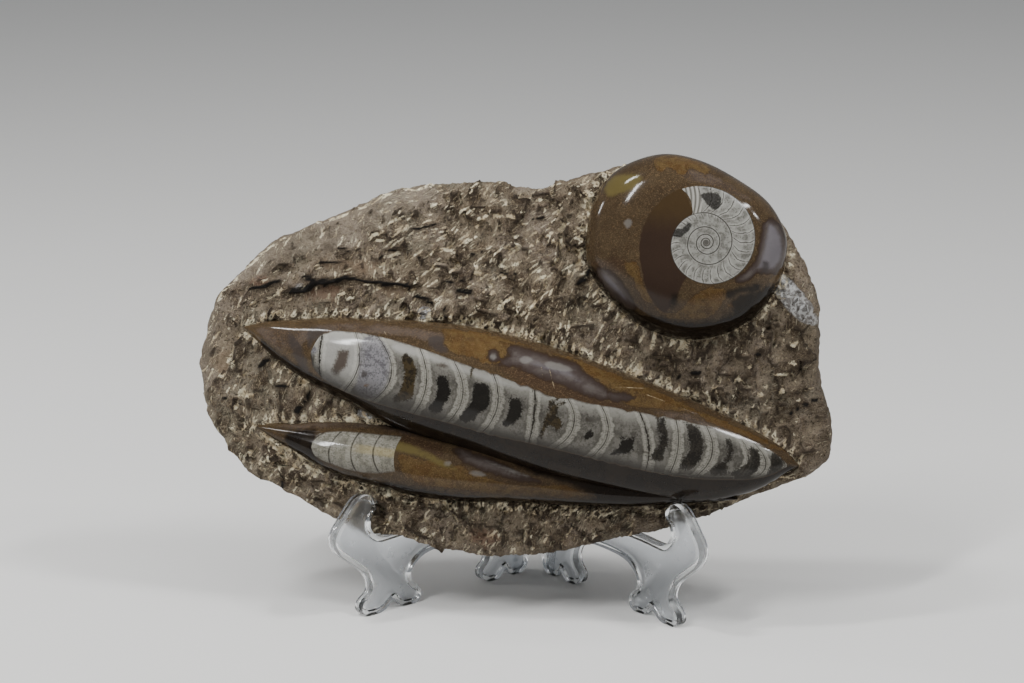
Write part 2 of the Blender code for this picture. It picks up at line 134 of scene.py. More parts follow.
# ---- round boss and coiled shell
BOSS_MIDDLE = (62.6, 35.4)
BOSS_RADIUS, BOSS_HEIGHT, BOSS_FOOT = 35, 15.0, -4.0
BOSS_OUTLINE = [
    (25.8, 34), (28, 51), (36.5, 63.2), (52, 69.4), (67, 67.4), (82, 60), (93, 51.5), (99.2, 39),
    (97.8, 26), (91.5, 13.8), (80, 5.2), (64, 1.6), (48, 5.8), (35.5, 15.5), (28, 25)]
COIL_MIDDLE = (70.4, 36.4)
COIL_RADIUS, COIL_GROWTH = 20.4, 1.9
MOUTH_ANGLE = radians(-26)
COIL_DEPTH = 5.0
COIL_ROUNDS = 9000                       # of evening out the coil's grid
SUTURES = 26                             # in one turn of the coil

# ---- easel
PLATE_ANGLE = radians(41.7)
RIM_THICKNESS, RIM_WIDTH, WEB_RECESS = 4.4, 1.7, 0.9
UPRIGHT_FOOT, UPRIGHT_SLOPE = 58.2, 0.359
KNUCKLE_RADIUS, PIN_RADIUS, PIN_REACH = 4.0, 1.6, 4.5
KNUCKLE_LEVELS = [20.0, 28.0, 28.3, 43.7, 44.0, 52.0]
GAP = 0.3
PLASTIC_IOR = 1.49
PLATE_OUTLINE = [
    (81.6, 0), (86.6, 0), (89.4, 2.6), (88.6, 5.8), (85.2, 8.4), (84.4, 11.6), (87, 16.4), (93.4, 21.6),
    (99, 26.2), (101.4, 31), (100.4, 35.2), (97.4, 38.8), (94.2, 42.4), (90.8, 45.6), (87, 46.6),
    (83.4, 45.2), (81.8, 42.2), (82.6, 39.3), (84.8, 37), (85, 33.8), (82.4, 30.5), (77.6, 28.8),
    (66, 29.2), (52, 29.4), (47.4, 30.2), (45.6, 33.4), (43.6, 40), (36.4, 60), (29.2, 80), (24, 94.2),
    (21.6, 98.6), (17.6, 99.8), (14.2, 97), (13.8, 92.6), (16.6, 84), (21.4, 72), (22.4, 63.4),
    (18.4, 57.4), (11, 54), (6.4, 51), (5.2, 47), (5.2, 34), (5.2, 21), (5.6, 12), (6.6, 4), (8.6, 0.8),
    (10.4, 0), (14.4, 0), (16.6, 1.8), (17.9, 3.7), (19.8, 2), (22.4, 0), (26.6, 0), (29.6, 2),
    (30, 5.2), (27.2, 8.2), (26.4, 11.8), (29, 16.2), (35, 18.9), (46, 19.5), (57, 18.8), (63, 16.2),
    (66, 12.2), (65.2, 8.9), (62.8, 7), (61, 4.4), (61.8, 1.3), (64.4, 0), (69, 0), (71.6, 1.6),
    (73.4, 3.8), (75.8, 2.8), (78.4, 0.9)]

# ---- colour patches: each a closed outline, along and across a ridge, or u and v on the boss and ground
BIG_PATCHES = {
    "grey": [
        [(27.5, 7), (36.5, 10), (45.5, 12), (57, 13.5), (73, 15), (74, 11), (65.5, 11.5), (56, 10.5),
         (46.5, 9), (37, 7.5), (30.5, 5.5)],
        [(155.5, 6), (163, 7.5), (170, 8), (175, 7), (174, 5.5), (166, 5), (159.5, 5)],
        [(5, 0.5), (14, 2.5), (25, 4.5), (26, 1), (19, -4.5), (10, -3)]],
    "ochre": [
        [(73, 17), (81.5, 18), (90.5, 19), (99, 18.5), (106, 18), (103, 17.5), (99.5, 17), (98.5, 15.5),
         (99, 13.5), (98, 10.5), (96.5, 9), (93, 8), (90.5, 8), (88.5, 9.5), (82.5, 9), (78.5, 9),
         (77, 10.5), (75, 11), (75, 14)],
        [(112, 17.5), (118, 18), (125, 17.5), (132, 16.5), (139.5, 15.5), (147, 14.5), (154.5, 13.5),
         (162, 12), (169.5, 10), (167.5, 8.5), (161, 7.5), (155.5, 7), (149.5, 6), (143, 6), (142, 9.5),
         (138, 10), (134, 11.5), (129, 13), (125, 15.5), (120, 16.5)],
        [(169.5, 10), (179, 9), (191.5, 6.5), (204, 3.5), (201, 3), (189.5, 5), (180, 6), (172, 8)]],
    "rust": [
        [(98.5, 8.5), (106.5, 9), (114.5, 8), (126, 6.5), (133, 5.5), (143, 6), (146, 5.5), (143.5, 3),
         (129.5, 2.5), (115.5, 3), (104, 4.5)],
        [(108.5, 13.5), (110, 14.5), (111.5, 14), (110.5, 13)],
        [(50.5, -10), (51.5, -9), (52, -10)]],
    "lilac": [
        [(98.5, 15.5), (100.5, 17), (105, 17), (109.5, 17), (112.5, 16.5), (118.5, 16.5), (124, 16),
         (127.5, 13.5), (132.5, 11.5), (136, 10), (139, 8.5), (138, 6), (133, 5.5), (126, 6.5),
         (119, 7.5), (112.5, 8), (106.5, 9), (100.5, 9.5), (97, 8.5), (98, 10.5), (99, 13)],
        [(92, 11), (93, 13.5), (96, 13), (96.5, 10.5), (94.5, 9)],
        [(134.5, 9), (139.5, 9), (145, 9.5), (148, 9), (146, 7.5), (140, 6)]],
    # Painted highlights.
    "light": [
        [(103.5, 12.5), (105.5, 14.5), (108.5, 13.5), (106, 11.5)],
        [(112.5, 13.5), (115, 14.5), (119.5, 14.5), (123.5, 13.5), (119, 12), (115, 12)],
        [(93, 11), (94, 12.5), (95.5, 11.5), (94.5, 10)]],
    "blue": [
        [(25, 5), (28.5, 6.5), (32, 6), (30.5, 4), (28, 1), (27.5, -1.5), (26, 0.5)],
        [(18, 2), (19.5, 1.5), (23.5, -1), (27.5, -6.5), (29, -10), (27, -10), (23.5, -7.5), (21, -4.5),
         (19, -1.5)],
        [(69.5, 13), (74, 14), (75.5, 11.5), (77.5, 10), (77.5, 8.5), (74, 8.5), (70.5, 10)]],
    # Painted shade on the lower flank.
    "dark": [
        [(8, -2.5), (18, -7), (28, -9.5), (40, -12.5), (52, -13.5), (70, -14.5), (100, -15), (130, -14.5),
         (165, -14), (186, -10.5), (196, -7.5), (204, -3), (209, -1.5), (206, -7), (190, -20), (163, -28),
         (110, -30), (60, -25), (30, -18), (12, -9)]],
}
SMALL_PATCHES = {
    "grey": [[(8, 0.5), (20, 3.5), (34, 6), (50, 8), (62, 7), (60, 4.5), (46, 5), (32, 3.5), (20, 1.5)]],
    "ochre": [
        [(66.5, -3.5), (73.5, -5), (78, -3.5), (82, -5.5), (88.5, -6.5), (97, -8), (107.5, -7),
         (114.5, -5.5), (121.5, -7), (127, -7.5), (121.5, -9.5), (112, -11), (92.5, -12.5), (80.5, -12.5),
         (68, -13), (58.5, -10.5), (56.5, -8), (55, -2.5), (63, -3.5)]],
    "rust": [[(54.5, 3.5), (58, 4.5), (61.5, 3.5), (69.5, 2.5), (71, -2.5), (62.5, -0.5), (55, 0.5)]],
    "lilac": [
        [(73.5, 1.5), (78, 2), (86, 0.5), (94, -1.5), (101.5, -4), (108, -5.5), (102, -6.5), (95, -6),
         (87, -4.5), (80.5, -3), (76, 0)]],
    # Painted highlights near the crest.
    "light": [
        [(72, -4), (73, -3), (74.5, -3.5), (73.5, -5)],
        [(81.5, -6), (84, -5), (88, -6), (85, -7)],
        [(86, -0.5), (90.5, -1.5), (98.5, -3), (104, -4.5), (98, -4), (90, -2)]],
    # Painted golden highlight along the crest.
    "green": [
        [(52, 1), (58, 1), (64, -0.5), (71, -3), (77, -5.5), (71, -5), (63, -2.5), (56, -2), (52, -1)]],
    # Painted shade on the lower flank, towards the right end and under the large ridge.
    "dark": [
        [(12, -1), (17.5, 0.5), (22.5, 1.5), (24, -5), (27, -10.5), (40, -13.5), (55, -14), (68, -14.5),
         (92, -14), (112, -12.5), (128, -9), (122, -6), (114, -4), (106, -3.5), (96, 0), (84, 2.5),
         (72, 3.5), (60, 5.5), (50, 7.5), (84, 8), (140, 3), (180, -1), (176, -4), (140, -12), (90, -18),
         (50, -18), (25, -13), (14, -7)]],
}
BOSS_PATCHES = {
    "grey": [
        [(61, 63), (67.5, 62.5), (77.5, 58.5), (86, 52.5), (79, 54.5), (72.5, 57.5), (65.5, 58),
         (61, 60)]],
    "ochre": [
        [(41, 28.5), (45.5, 28.5), (48, 21.5), (52, 15), (49.5, 14.5), (46.5, 17.5), (44, 23), (42, 25)],
        [(52.5, 13), (59.5, 11), (65.5, 16), (71.5, 20.5), (78.5, 19.5), (76.5, 14), (72, 9.5), (64, 8.5),
         (56.5, 9)],
        [(50, 66), (55, 69), (62, 68), (71, 64.5), (69, 61), (64, 63.5), (61, 60), (57, 63.5), (53, 62)],
        [(92.5, 24), (96.5, 26), (97.5, 25), (94, 22.5)],
        [(78.5, 14.5), (81.5, 17), (85.5, 18), (83.5, 15), (80, 13.5)]],
    "rust": [[(28, 29), (33, 29.5), (39.5, 30), (41.5, 26), (37.5, 25), (32.5, 26), (29.5, 27)]],
    "lilac": [
        [(30.5, 26.5), (34.5, 26), (39, 22.5), (43.5, 16.5), (45, 12), (41, 13.5), (37, 17), (33, 21)],
        [(91, 44.5), (94.5, 45.5), (98.5, 40), (99, 32), (95, 26), (89, 26), (85.5, 23), (81, 23),
         (87, 28.5), (89, 33.5), (90, 39.5)]],
    # Painted highlight.
    "light": [[(40.5, 43), (42, 44.5), (43.5, 43), (42, 41)]],
    "blue": [[(90.5, 27), (91, 30.5), (93, 30), (93, 27), (91.5, 26)]],
    "green": [
        [(33.5, 58), (37, 60.5), (43.5, 61), (46.5, 59.5), (43.5, 55.5), (39, 54), (34.5, 53), (33, 55)]],
    # Painted shade on the lower part of the boss.
    "dark": [
        [(26.5, 29), (30.5, 26.5), (35, 26), (39.5, 22.5), (44, 16.5), (46, 11), (52.5, 10), (59.5, 8.5),
         (69, 8), (76, 9.5), (81, 12.5), (79.5, 15.5), (83, 18), (88, 19), (95, 22), (97, 16), (88, 4),
         (72.5, -1), (52, -1), (38, 6), (26, 20)],
        [(77.5, 19), (83, 21), (90, 22), (88, 19), (83, 18.5), (79.5, 16)],
        [(58.5, 17), (60.5, 17), (60, 13), (58.5, 12.5)]],
}
SHELL_PATCHES = {
    "black": [
        [(76.5, -1), (77.5, 0.5), (79.5, 0.5), (80.5, -1.5), (82, -3.5), (82.5, -5.5), (82, -8),
         (81, -10.5), (80.5, -13), (78, -13.5), (75.5, -13), (76.5, -11), (77.5, -8.5), (77.5, -5.5),
         (77, -3)],
        [(90, 0.5), (92.5, 1), (94.5, 1.5), (96, -0.5), (97, -4), (97, -7), (95.5, -8.5), (94, -10.5),
         (93, -12.5), (91, -14), (88.5, -14), (87.5, -13), (89, -10), (90.5, -7.5), (90.5, -3.5)],
        [(104, -2), (106, -1.5), (107.5, -0.5), (108.5, -2), (109.5, -5.5), (109, -8), (107.5, -10.5),
         (105, -12), (103, -12), (103.5, -10), (104.5, -8), (104.5, -5)],
        [(133.5, -8), (134.5, -6), (136.5, -5.5), (136.5, -7), (135.5, -9.5), (134, -9.5)],
        [(146, -5.5), (147, -6), (149.5, -5.5), (150.5, -4.5), (151.5, -8), (151, -10), (147.5, -12),
         (146, -12), (143.5, -13), (145, -11.5), (146, -9.5), (146.5, -7.5)]],
    "olive": [
        [(62, 4.5), (63.5, 5), (65, 4), (67, 2.5), (68.5, 0), (69, -4), (69.5, -8), (69, -10.5),
         (66.5, -12), (64, -13), (62, -12.5), (63, -11), (64, -9), (64.5, -6.5), (64.5, -4), (64, -1),
         (62.5, 1.5)],
        [(118, 1), (120, 1), (121, 0), (122, -2), (121.5, -4), (123.5, -4.5), (124.5, -6.5),
         (124.5, -8.5), (123, -9), (122, -8), (120, -8), (119, -10), (119, -12), (118, -13.5), (117, -12),
         (117.5, -10.5), (118, -8), (118, -5), (118.5, -2.5)],
        [(119.5, 3), (120.5, 3.5), (122.5, 2), (124, 1.5), (123, 0.5), (120.5, 2)],
        [(88, 6.5), (87.5, 3.5), (89, 1), (90, 1), (88.5, 4), (89, 6.5)]],
    "smoky": [
        [(157, 4), (159.5, 5), (160.5, 2.5), (162, -0.5), (163, -4), (162.5, -7), (162.5, -10.5),
         (160.5, -11), (158, -10.5), (159, -7), (160, -6), (159.5, -3), (158, 0.5)],
        [(166, 5), (169.5, 4.5), (172, 4), (174.5, 1), (175.5, -2), (176, -6), (175, -9), (172, -11.5),
         (169.5, -12), (169, -10), (170, -7), (171, -4.5), (171, -2.5), (169, 0), (168.5, 3)],
        [(182.5, 2.5), (185, 2), (186.5, -1.5), (186.5, -4.5), (185.5, -6.5), (185.5, -10), (181, -11.5),
         (180, -9.5), (182.5, -6.5), (184.5, -4.5), (184.5, -2), (183.5, 0.5)],
        [(191.5, 1.5), (194.5, 1.5), (196.5, -1.5), (196.5, -5.5), (194.5, -9), (190, -10.5), (187, -9),
         (189.5, -7), (192.5, -3.5), (192.5, -1)],
        [(200, 1.5), (202.5, 1.5), (205, -0.5), (205, -3.5), (203, -6), (200, -7.5), (200.5, -3.5)]],
    "lilac": [
        [(46, 2.5), (46, 6.5), (50, 8.5), (54, 7), (57.5, 3), (59, -2.5), (59, -8), (57, -12.5),
         (54, -14.5), (49.5, -13.5), (47.5, -11.5), (47.5, -8.5), (47, -3.5), (46, 0)],
        [(28, -1.5), (29.5, -0.5), (30.5, -1.5), (30, -3), (29, -3.5)]],
    "core": [
        [(38.5, 0.5), (40.5, 1), (42.5, 1), (42.5, -2), (43, -5), (41.5, -6.5), (40.5, -9), (38.5, -9),
         (37, -7.5), (37.5, -6), (38, -2.5)],
        [(75, 4), (77.5, 5), (80, 4), (78, 3), (75.5, 3)]],
    "white": [
        [(31, 4), (35.5, 7), (42.5, 7), (45.5, 2.5), (47, -3.5), (47, -8.5), (44, -12), (39.5, -12),
         (34.5, -11.5), (32.5, -9), (32, -4.5), (31.5, -0.5)],
        [(58, 7), (68, 7), (80, 5.5), (100, 4), (110, 3), (100, 2), (84, 3.5), (70, 5), (60, 4.5)]],
    "dot": [[(50.5, -10), (51.5, -9), (52.5, -9.5), (51.5, -10.5)]],
}
SHELL_LINES = [     # dark hairlines in the large shell
    [(45.5, 1.7), (47.2, -2.7), (48.9, -4.7), (49.2, -7)], [(50.4, -4.8), (51.5, -8.4)],
    [(53.2, -2.2), (53.8, -5.9)], [(50, -12.5), (51.9, -13.5), (54.7, -14)],
    [(102.4, 3), (102.9, 1.3), (103.9, -0.3), (105, -1.3)],
    [(110.9, 3.3), (112.4, 1.1), (115.2, -1.9), (115.6, -5.2), (115.2, -8.6)],
    [(130.3, 1.7), (132, -0.9), (133.1, -4), (133.2, -7.4), (132.1, -10.6), (131.2, -12.5)],
    [(130.6, 1.3), (132.4, -0.8), (133.9, -1.7), (134.6, -2.8)],
    [(152.8, -8.6), (154.8, -9.1), (156.8, -8.8), (159.1, -9.5)],
    [(70.6, -5.4), (70.6, -9), (69.9, -11.6)], [(84.4, -3), (84.6, -8), (83.9, -11.4)]]
COIL_PATCHES = {
    "black": [
        [(68, 53.5), (70.5, 54.5), (74.5, 54), (75.5, 51.5), (74.5, 49), (72.5, 48.5), (70, 50.5)],
        [(57.5, 40), (59.5, 41), (62, 41.5), (64, 43.5), (65, 42), (62.5, 39), (60, 38), (58, 38.5)]],
}
ROCK_PATCHES = {
    "pink": [
        [(-78, 15), (-71, 18.5), (-64, 17), (-66, 14.5), (-74, 13.5)],
        [(-14, -72), (-8, -69), (-2, -72), (-8, -76)],
        [(-97, 20), (-93, 22), (-92, 19), (-96, 18)]],
    "white": [
        [(92, 26), (97, 27), (104, 21), (109.5, 13), (110.5, 8), (104, 10), (99, 15), (94, 21)],
        [(-58, -28), (-54, -26.5), (-49, -29.5), (-52, -30.5)],
        [(-34.5, 7), (-34.5, 11), (-30.5, 11), (-31, 7)],
        [(-82, 17.5), (-80, 19), (-78, 18.5), (-79.5, 17)]],
    "skin": [
        [(-104, 24), (-92, 34), (-80, 40.5), (-66, 47), (-52, 52), (-36, 57), (-30, 52), (-42, 46),
         (-54, 38), (-62, 33), (-72, 31), (-84, 28), (-98, 20)],
        [(-117, -18), (-115, 4), (-109, 14), (-111, 2), (-112.5, -14), (-114, -26)]],
    "tan": [
        [(-112, -12), (-109, -6), (-105.5, -9), (-107, -14)],
        [(-52, 16), (-44, 19.5), (-37, 17), (-44, 15)],
        [(-72, 26), (-60, 28), (-50, 25.5), (-60, 23)]],
}
CHISEL_DIRECTIONS = [     # place on the face, angle of the strokes in degrees, scatter
    (-40, 42, 28, 12), (-80, 30, 70, 40), (-60, 22, 80, 35), (-108, -10, 60, 60), (-95, -22, 75, 40),
    (-20, 30, 38, 18), (10, 45, 32, 14), (5, 20, 40, 22), (24, 8, 60, 25), (40, -6, 55, 30),
    (-88, -48, 50, 14), (-60, -62, 58, 16), (-20, -72, 55, 20), (20, -70, 62, 25), (60, -62, 50, 25),
    (98, 0, 82, 30), (95, -14, 12, 16), (106, -28, 20, 20), (70, -10, 75, 30), (-70, -24, 62, 20)]
STRUCK = {     # single strokes of the chisel by their width: from one place on the face to another
    2.0: [
        (-55, 36, -49, 39), (-52, 35, -48, 36), (-49, 28, -49, 25), (-62, 26, -61, 23),
        (-87, 18, -88, 14), (-85, 17, -83, 11), (-47, 30, -42, 31), (-45, 16, -44, 15),
        (-43, 39, -37, 41), (-21, 46, -19, 48), (-9, 45, -5, 46), (-6, 46, 0, 45), (-6, 50, -3, 50),
        (-15, 41, -14, 42), (-28, 33, -23, 33), (-13, 34, -9, 34), (-1, 35, 4, 34), (11, 39, 14, 40),
        (14, 36, 17, 36), (14, 30, 17, 31), (-2, 27, 3, 29), (8, 26, 10, 26), (-6, 11, -2, 15),
        (-3, 14, 0, 16), (-15, 29, -13, 23), (-15, 24, -12, 24), (-24, 24, -22, 26), (-9, 17, -6, 17),
        (2, 15, 3, 14), (13, 17, 14, 19), (8, 52, 9, 52), (15, 43, 18, 43), (19, 55, 20, 54),
        (-33, 46, -31, 46), (81, -13, 85, -12), (96, -10, 101, -10), (92, -14, 93, -15),
        (75, -12, 78, -13), (-88, -41, -86, -40), (-84, -47, -82, -45), (-76, -49, -74, -47)],
    1.45: [
        (-50, 40, -41, 45), (-46, 37, -36, 42), (-54, 28, -53, 22), (-66, 32, -66, 29),
        (-70, 34, -69, 31), (-70, 23, -69, 20), (-89, 25, -89, 22), (-93, 21, -92, 19),
        (-92, 14, -89, 14), (-100, 13, -99, 10), (-52, 19, -48, 16), (-41, 16, -42, 12),
        (-40, 17, -37, 18), (-37, 20, -35, 22), (-65, 15, -62, 16), (-63, 15, -59, 14),
        (-35, 42, -31, 44), (-15, 44, -11, 45), (-12, 45, -8, 48), (1, 44, 4, 43), (4, 43, 8, 45),
        (-21, 34, -17, 36), (-18, 36, -14, 38), (-31, 31, -29, 33), (-2, 37, 2, 39), (5, 34, 10, 38),
        (11, 42, 14, 44), (-5, 23, -2, 23), (8, 23, 12, 24), (17, 25, 21, 26), (4, 6, 6, 11),
        (6, 11, 8, 15), (-29, 26, -28, 25), (-36, 28, -34, 28), (6, 19, 8, 18), (16, 16, 18, 17),
        (1, 9, 2, 11), (-18, 11, -18, 8), (-34, 16, -32, 17), (-28, 14, -24, 15), (10, 48, 11, 48),
        (15, 47, 16, 47), (11, 11, 15, 13), (17, 11, 20, 9), (-32, 48, -29, 50), (78, -10, 82, -10),
        (97, -17, 100, -16), (100, -6, 103, -6), (70, -17, 73, -17), (73, -16, 75, -16),
        (81, -18, 82, -20), (96, 0, 97, -2), (101, 0, 105, 2), (91, 6, 92, 1), (63, -7, 65, -8),
        (32, 1, 35, 2), (46, -1, 48, 3), (50, -3, 52, 0), (38, -4, 40, -2), (46, -8, 48, -6),
        (90, -17, 92, -18), (104, -20, 105, -19), (-89, -13, -89, -19), (-98, -22, -97, -25),
        (-97, -7, -98, -11), (-107, -9, -105, -12), (-109, -16, -107, -16), (-78, -17, -75, -17),
        (-72, -24, -73, -28), (-103, -26, -102, -28), (-90, -29, -89, -31), (-78, -32, -76, -30),
        (-74, -32, -72, -30), (-100, -40, -98, -38), (-93, -38, -90, -37), (-91, -40, -89, -38),
        (-81, -50, -79, -46), (-72, -49, -70, -48), (-90, -47, -88, -44), (-93, -47, -92, -46),
        (-86, -50, -84, -48), (-98, -45, -96, -43), (-100, -36, -98, -34), (-102, -37, -100, -35),
        (-86, -44, -84, -43), (-70, -54, -70, -57), (-78, -52, -76, -51), (-74, -53, -71, -51)],
    1.0: [
        (-54, 36, -54, 30), (-73, 28, -73, 23), (-97, 13, -98, 7), (-78, 20, -77, 18), (-59, 12, -54, 11),
        (-31, 30, -28, 35), (-9, 29, -4, 35), (-8, 28, -3, 27), (26, 56, 26, 50), (28, 55, 25, 50),
        (69, -4, 70, -7), (81, -1, 82, -5), (93, -1, 94, -4), (85, -8, 88, -8), (-85, -14, -82, -13),
        (-69, -25, -68, -28)],
}
CRACKS = [    # a line of places, half width, depth
    ([(-98.5, 16.5), (-94.5, 17), (-91, 18.5), (-86.5, 20)], 0.8, 1.8),
    ([(-82.5, 16), (-77, 17), (-74, 19.5), (-70.5, 20)], 1.2, 2.6),
    ([(-77.5, 21.5), (-74, 20.5), (-70.5, 20)], 1.1, 2.6),
    ([(-70.5, 19.5), (-67, 20), (-64, 21), (-58.5, 21.5)], 1.15, 3),
    ([(-58.5, 21.5), (-53.5, 20.5), (-49, 20.5)], 0.7, 2),
    ([(-49, 20), (-43.5, 19.5), (-39, 19)], 1.1, 2.6),
    ([(-72.5, 27), (-66, 27)], 0.35, 1.4),
    ([(-65, 32.5), (-61.5, 31.5), (-58.5, 32)], 0.45, 1.6),
    ([(-50, 31.5), (-44, 32.5), (-36, 33.5)], 0.4, 1.4),
    ([(-51, 28.5), (-49.5, 29.5)], 0.5, 1.4),
    ([(-28.5, 20.5), (-21.5, 21), (-15.5, 22)], 0.35, 1.2),
    ([(-20.5, 18), (-16, 17.5)], 0.8, 2),
    ([(-36.5, 15.5), (-32, 14), (-29.5, 12.5)], 0.9, 2),
    ([(-25.5, 12.5), (-25, 7)], 0.35, 1.6),
    ([(-16, 31), (-12, 32)], 0.5, 1.4),
    ([(27.5, 26), (26, 23), (23.5, 22)], 0.9, 2.2),
    ([(6, 45), (10, 45.5)], 0.6, 1.5),
    ([(-43, 39), (-36.5, 40), (-28.5, 42.5)], 0.45, 1),
    ([(-5, 24.5), (2, 24.5)], 0.5, 1.4),
    ([(60, -12.5), (63, -11), (66.5, -10), (69, -10.5)], 0.4, 1.4),
    ([(78, -6.5), (83.5, -6.5)], 0.4, 1.4),
    ([(102, -24), (105.5, -21.5), (111, -19)], 0.45, 1.4),
    ([(88.5, -3), (91, -2.5)], 0.5, 1.4),
    ([(-93.5, -12), (-92, -10.5), (-89.5, -9)], 0.8, 1.8),
    ([(-87.5, -19.5), (-83, -19.5)], 0.7, 1.8),
    ([(-79, -28), (-77, -25.5), (-75, -22)], 0.9, 2.2),
    ([(-108, -23.5), (-105.5, -24)], 0.7, 1.6),
    ([(-85, -51), (-83, -52.5), (-83.5, -55.5)], 0.45, 1.2),
]
NICKS = [     # fine scratches in the polish, from one place on the face to another
    (-46.2, 2, -45, 0.4), (-45, 0.4, -44.4, 2.4), (15, -10.5, 17.2, -17.5), (12, -9.6, 12.8, -13),
    (38, -16.2, 50, -16.4), (50, -18.6, 57, -21)]
# Of these layers, dark is painted shade and light painted highlights; green is a patch of the boss's stone
# and, on the small ridge, a painted highlight.
LAYERS = ("grey", "ochre", "rust", "lilac", "light", "blue", "green", "dark")     # of the polished stone


def rgb(code):
    """A colour from its six-digit code, in linear light."""
    parts = [int(code[k:k + 2], 16) / 255 for k in (0, 2, 4)]
    return tuple(c / 12.92 if c <= 0.04045 else ((c + 0.055) / 1.055) ** 2.4 for c in parts) + (1,)


# =====================================================================  shapes worked out by formula

def interpolate(table, along, column):
    """Smooth values from a table whose first column rises."""
    rows = np.array(table, float)
    positions, values = rows[:, 0], rows[:, column]
    slopes = np.gradient(values, positions)
    index = np.clip(np.searchsorted(positions, along) - 1, 0, len(rows) - 2)
    span = positions[index + 1] - positions[index]
    t = np.clip((along - positions[index]) / span, 0, 1)
    rise = values[index + 1] - values[index]
    bend_a = slopes[index] * span - rise
    bend_b = rise - slopes[index + 1] * span
    return values[index] + t * rise + t * (1 - t) * ((1 - t) * bend_a + t * bend_b)


def smooth_closed(points, steps):
    """A closed curve through the points, with steps points from each to the next."""
    curve = []
    for i in range(len(points)):
        before, start, end, after = (np.array(points[(i + k) % len(points)], float) for k in (-1, 0, 1, 2))
        for k in range(steps):
            t = k / steps
            curve.append(0.5 * (2 * start + (end - before) * t
                                + (2 * before - 5 * start + 4 * end - after) * t ** 2
                                + (3 * start - before - 3 * end + after) * t ** 3))
    return np.array(curve)


def smoothstep(low, high, value):
    t = np.clip((value - low) / (high - low), 0, 1)
    return t * t * (3 - 2 * t)


def on_face(u, v, w):
    """Places in the room, in millimetres, of places on the slab's face."""
    return FACE_ORIGIN + np.stack(np.broadcast_arrays(u, v, w), axis=-1) @ FACE_AXES


def rough(u, v, size, seed):
    """Noise over the face, in waves of about this size."""
    return np.array([noise.noise(Vector((x / size, y / size, seed))) for x, y in zip(u, v)])


def rugged(points, size, octaves, seed):
    """Rugged noise in space: sharper and with more detail than rough."""
    offset = Vector((seed, 2 * seed, 3 * seed))
    return np.array([noise.fractal(Vector(p) / size + offset, 0.7, 2.1, octaves) for p in points])


def polish(u, v):
    """The slight unevenness that hand polishing leaves."""
    return 0.10 * rough(u, v, 17, 7.5) + 0.035 * rough(u, v, 7, 9.5)


def distance_to_line(line, x, y):
    """Distance of each place to a line of points."""
    nearest = np.full(x.shape, 99.0)
    for begin, end in zip(line, line[1:]):
        step = np.subtract(end, begin)
        t = np.clip(((x - begin[0]) * step[0] + (y - begin[1]) * step[1]) / (step @ step + 1e-9), 0, 1)
        nearest = np.minimum(nearest, np.hypot(x - begin[0] - t * step[0], y - begin[1] - t * step[1]))
    return nearest


def patch_field(patches, x, y):
    """How far inside the nearest patch each place is; negative outside."""
    field = np.full(x.shape, -5.0)
    for patch in patches:
        outline = smooth_closed(patch, 3)
        outline = np.vstack([outline, outline[:1]])
        inside = np.zeros(x.shape, bool)
        for (x0, y0), (x1, y1) in zip(outline, outline[1:]):
            inside ^= ((y0 > y) != (y1 > y)) & (x < x0 + (x1 - x0) * (y - y0) / (y1 - y0 + 1e-12))
        distance = distance_to_line(outline, x, y)
        field = np.maximum(field, np.where(inside, distance, -distance))
    return field


class Outline:
    """A closed outline, all of it in view from its middle."""

    def __init__(self, points, middle):
        self.middle = middle
        curve = smooth_closed(points, 6) - np.array(middle)
        angles = np.arctan2(curve[:, 1], curve[:, 0])
        order = np.argsort(angles)
        self.angles, self.reaches = angles[order], np.hypot(*curve.T)[order]

    def share(self, u, v):
        """0 in the middle and 1 on the outline."""
        du, dv = u - self.middle[0], v - self.middle[1]
        return np.hypot(du, dv) / np.interp(np.arctan2(dv, du), self.angles, self.reaches, period=tau)

    def from_square(self, x, y):
        """Places inside the outline of places in a square of -1 to 1, and how far out each is."""
        round_x, round_y = x * np.sqrt(1 - y * y / 2), y * np.sqrt(1 - x * x / 2)
        reach = np.interp(np.arctan2(round_y, round_x), self.angles, self.reaches, period=tau)
        return round_x * reach, round_y * reach, np.hypot(round_x, round_y)


class Ridge:
    """A boat-shaped ridge."""

    def __init__(self, start, end, table, roundness, lean):
        self.start = np.array(start)
        length = float(np.linalg.norm(np.subtract(end, start)))
        self.along = np.subtract(end, start) / length
        self.across = np.array([-self.along[1], self.along[0]])
        self.table = table
        self.roundness, self.lean = roundness, lean
        self.last = table[-1][0]

    def place(self, a, b):
        """u and v of places on the ridge."""
        return (self.start[0] + self.along[0] * a + self.across[0] * b,
                self.start[1] + self.along[1] * a + self.across[1] * b)

    def own(self, u, v):
        """a and b of places on the face."""
        du, dv = u - self.start[0], v - self.start[1]
        return du * self.along[0] + dv * self.along[1], du * self.across[0] + dv * self.across[1]

    def rims(self, a):
        """The upper and the lower rim, across from the ridge's own line."""
        return interpolate(self.table, a, 1), interpolate(self.table, a, 2)

    def height(self, a, b):
        upper, lower = self.rims(a)
        across = np.clip((upper - b) / (upper - lower), 0, 1) ** self.lean
        across = np.abs(2 * across - 1)
        bow = (1 - across ** self.roundness) ** 0.5
        return interpolate(self.table, a, 3) * bow + polish(*self.place(a, b))

    def depth_inside(self, u, v):
        """How far inside the ridge's foot a place is; negative outside."""
        a, b = self.own(u, v)
        upper, lower = self.rims(np.clip(a, 0, self.last))
        sideways = np.minimum(upper - b, b - lower)
        return np.minimum(sideways, np.minimum(a, self.last - a) * 2)


